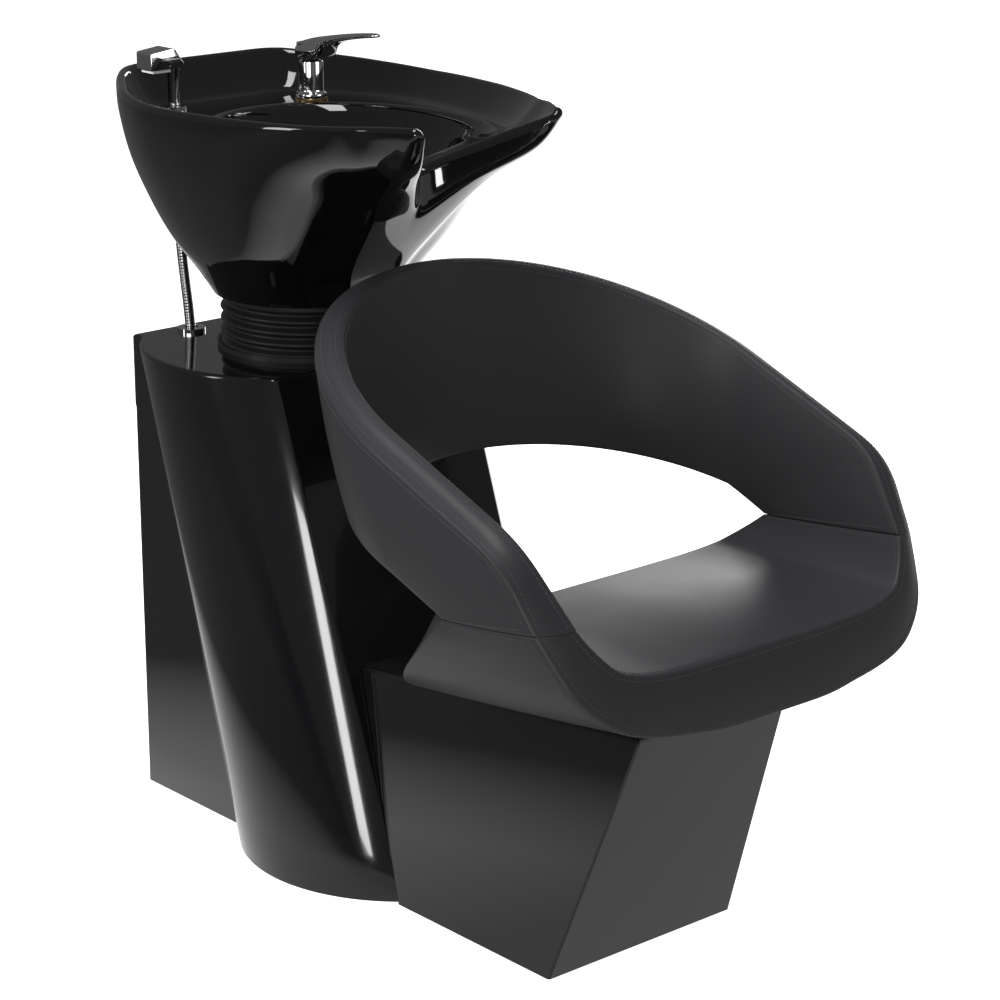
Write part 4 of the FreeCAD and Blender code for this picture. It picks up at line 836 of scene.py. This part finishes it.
def buildSpray():
    x, y = spray["place"]
    bm = bmesh.new()
    turned(bm, [(r, spray["foot"] + z) for r, z in spray["handle"]], x, y)
    makePiece("sprayHandle", bm, chrome, "hand_spray", 40, ["spray_handle"])
    left, long, wide, low, tall = spray["head"]
    bm = bmesh.new()
    near = [bm.verts.new(((left + long * a) * mm, (y - wide / 2) * mm, (low + tall * b) * mm))
            for a, b in spray["outline"]]
    made = bmesh.ops.extrude_face_region(bm, geom=[bm.faces.new(near)])
    far = [v for v in made["geom"] if isinstance(v, bmesh.types.BMVert)]
    bmesh.ops.translate(bm, vec=(0, wide * mm, 0), verts=far)
    bmesh.ops.recalc_face_normals(bm, faces=bm.faces)
    sharp = [e for e in bm.edges if e.calc_face_angle(0) > math.radians(35)]
    roundEdges(bm, sharp, spray["round"], 5)
    makePiece("sprayHead", bm, chrome, "hand_spray", 40, ["spray_head"])


buildSpray()
print("spray done")

# Spray hose: the free stretch from the guide tube down into the column
hoseRoute = [(-92.0, 468.0, 848.0), (-92.0, 468.0, 800.0), (-88.5, 463.5, 725.0), (-84.0, 459.0, 660.0),
             (-83.0, 458.0, 616.0)]


def buildHose():
    curve = bpy.data.curves.new("sprayHose", "CURVE")
    curve.dimensions = "3D"
    line = curve.splines.new("NURBS")
    line.points.add(len(hoseRoute) - 1)
    for point, place in zip(line.points, hoseRoute):
        point.co = (place[0] * mm, place[1] * mm, place[2] * mm, 1)
    line.order_u = 3
    line.use_endpoint_u = True
    line.resolution_u = 24
    curve.bevel_depth = 7 * mm
    curve.bevel_resolution = 6
    curve.use_fill_caps = True
    hose = bpy.data.objects.new("sprayHose", curve)
    bpy.context.scene.collection.objects.link(hose)
    curve.materials.append(spiralChrome)
    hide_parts("spray_hose")
    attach(hose, "base")


# Chrome of the wound hose: a tight wave along its length
spiralChrome = makeMaterial("spiralChrome", "cfcfd2", 0.14, metallic=1.0)


def addSpiral():
    tree = spiralChrome.node_tree
    place = tree.nodes.new("ShaderNodeTexCoord")
    wave = addNode(tree, "ShaderNodeTexWave", Scale=1 / (4 * mm) / 3.18)
    wave.bands_direction = "Z"
    bump = addNode(tree, "ShaderNodeBump", Distance=0.9 * mm, Strength=1.0)
    tree.links.new(place.outputs["Object"], wave.inputs["Vector"])
    tree.links.new(wave.outputs["Color"], bump.inputs["Height"])
    tree.links.new(bump.outputs["Normal"], tree.nodes["Principled BSDF"].inputs["Normal"])


addSpiral()
buildHose()
print("hose done")

# CAD pieces that show as they are take these finishes
finishes = {"steel_grey": coatedSteel, "steel_bright": zinc, "plastic_black": blackPlastic,
            "plastic_pale": palePlastic, "plywood": plywood, "chrome": chrome, "brass": brass,
            "gelcoat_black": gelcoat, "rubber_black": rubber}
slotOf = {entry["node"]: entry["material_slot"] for entry in frame["record"]["subparts"]}
for name, node in nodes.items():
    finish = finishes.get(slotOf.get(name))
    if finish:
        node.data.materials.clear()
        node.data.materials.append(finish)

# Pale floor, soft studio light and the photograph's view
scene = bpy.context.scene
floorMesh = bmesh.new()
bmesh.ops.create_grid(floorMesh, x_segments=1, y_segments=1, size=12)
mesh = bpy.data.meshes.new("floor")
floorMesh.to_mesh(mesh)
floorMesh.free()
floor = bpy.data.objects.new("floor", mesh)
scene.collection.objects.link(floor)
# Floor: white to the camera; in reflections it glows as a painted reflection, dimming to the left and
# brightening to the rear, over a near-black base
paleFloor = makeMaterial("paleFloor", "e8e8e8", 0.9, specular=0.0)
mesh.materials.append(paleFloor)


def paintFloorGlow():
    tree = paleFloor.node_tree
    shader = tree.nodes["Principled BSDF"]
    path = tree.nodes.new("ShaderNodeLightPath")
    place = tree.nodes.new("ShaderNodeNewGeometry")
    split = tree.nodes.new("ShaderNodeSeparateXYZ")
    left = tree.nodes.new("ShaderNodeVectorMath")
    left.operation = "DOT_PRODUCT"
    left.inputs[1].default_value = (-0.8, 0.6, 0)
    # Mask of the painted reflection glow: it fades out to the left and rises to the rear
    dim = addNode(tree, "ShaderNodeMapRange", From_Min=0.4, From_Max=0.9, To_Min=1.0, To_Max=0.06)
    rear = addNode(tree, "ShaderNodeMapRange", From_Min=-0.2, From_Max=1.0, To_Min=0.4, To_Max=1.3)
    level = addNode(tree, "ShaderNodeMath")
    level.operation = "MULTIPLY"
    mirror = addNode(tree, "ShaderNodeMath")
    mirror.operation = "MULTIPLY"
    tree.links.new(place.outputs["Position"], left.inputs[0])
    tree.links.new(place.outputs["Position"], split.inputs[0])
    tree.links.new(left.outputs["Value"], dim.inputs["Value"])
    tree.links.new(split.outputs["Y"], rear.inputs["Value"])
    tree.links.new(dim.outputs["Result"], level.inputs[0])
    tree.links.new(rear.outputs["Result"], level.inputs[1])
    tree.links.new(level.outputs[0], mirror.inputs[1])
    tree.links.new(path.outputs["Is Glossy Ray"], mirror.inputs[0])
    # The floor's emission: even white to the camera, and the painted reflection glow in glossy rays
    glow = addNode(tree, "ShaderNodeMath")
    glow.operation = "MAXIMUM"
    tree.links.new(path.outputs["Is Camera Ray"], glow.inputs[0])
    tree.links.new(mirror.outputs[0], glow.inputs[1])
    shader.inputs["Emission Color"].default_value = (1, 1, 1, 1)
    tree.links.new(glow.outputs[0], shader.inputs["Emission Strength"])
    # In glossy rays the floor's base colour is near black, so only the painted reflection glow shows in
    # reflections
    shade = tree.nodes.new("ShaderNodeMix")
    shade.data_type = "RGBA"
    shade.inputs["A"].default_value = (0.55, 0.55, 0.55, 1)
    shade.inputs["B"].default_value = (0.02, 0.02, 0.02, 1)
    tree.links.new(path.outputs["Is Glossy Ray"], shade.inputs["Factor"])
    tree.links.new(shade.outputs["Result"], shader.inputs["Base Color"])


paintFloorGlow()

world = bpy.data.worlds.new("studio")
scene.world = world
world.use_nodes = True
tree = world.node_tree
background = tree.nodes["Background"]
path = tree.nodes.new("ShaderNodeLightPath")
glossy = tree.nodes.new("ShaderNodeMix")
glossy.data_type = "RGBA"
glossy.inputs["A"].default_value = (0.42, 0.42, 0.43, 1)
glossy.inputs["B"].default_value = (0.12, 0.12, 0.122, 1)
seen = tree.nodes.new("ShaderNodeMix")
seen.data_type = "RGBA"
seen.inputs["B"].default_value = (1, 1, 1, 1)
tree.links.new(path.outputs["Is Glossy Ray"], glossy.inputs["Factor"])
tree.links.new(glossy.outputs["Result"], seen.inputs["A"])
tree.links.new(path.outputs["Is Camera Ray"], seen.inputs["Factor"])
tree.links.new(seen.outputs["Result"], background.inputs["Color"])
background.inputs["Strength"].default_value = 1.0


def softbox(name, place, target, wide, tall, power, mirrored=True):
    light = bpy.data.lights.new(name, "AREA")
    light.shape = "RECTANGLE"
    light.size = wide
    light.size_y = tall
    light.energy = power
    lamp = bpy.data.objects.new(name, light)
    scene.collection.objects.link(lamp)
    lamp.location = place
    lamp.rotation_euler = (Vector(target) - Vector(place)).to_track_quat("-Z", "Y").to_euler()
    lamp.visible_glossy = mirrored
    return lamp


softbox("leftBox", (-3.0, 0.6, 1.6), (0, 0.2, 0.6), 1.8, 2.4, 90, mirrored=False)
softbox("leftStrip", (-3.0, 0.9, 1.5), (0, 0.3, 0.7), 0.45, 1.7, 14)
softbox("rightBox", (2.2, -2.6, 2.0), (0, -0.1, 0.6), 1.4, 2.2, 25, mirrored=False)
softbox("topBox", (0.2, 0.4, 3.2), (0, 0, 0.5), 2.4, 2.4, 110, mirrored=False)
softbox("topStrip", (-0.6, -0.2, 3.0), (0, 0.2, 0.9), 0.5, 1.6, 16)
softbox("backBox", (2.8, 2.1, 1.25), (0, -0.3, 0.5), 1.3, 0.9, 17)
softbox("stripBox", (-2.5, -1.45, 0.55), (0, 0, 0.4), 0.3, 0.8, 9)

# Two panels that only the bright fittings see
bright = bpy.data.collections.new("brightFittings")
for item in scene.objects:
    shown = item.data.materials if item.type in ("MESH", "CURVE") else []
    if shown and shown[0] in (chrome, spiralChrome, brass):
        bright.objects.link(item)
for name, place, power in (("chromeLeft", (-2.2, -0.9, 1.3), 30), ("chromeRight", (1.3, -2.2, 1.5), 30)):
    panel = softbox(name, place, (0, 0.4, 1.0), 1.5, 1.6, power)
    panel.light_linking.receiver_collection = bright

cameraData = bpy.data.cameras.new("photoCamera")
cameraData.lens = 108
cameraData.sensor_width = 36
camera = bpy.data.objects.new("photoCamera", cameraData)
scene.collection.objects.link(camera)
camera.location = (-2.3476, -2.7690, 1.6091)
camera.rotation_euler = Vector((0.6283, 0.7203, -0.2940)).to_track_quat("-Z", "Y").to_euler()
scene.camera = camera
scene.render.resolution_x = 1000
scene.render.resolution_y = 1000
scene.view_settings.view_transform = "Standard"
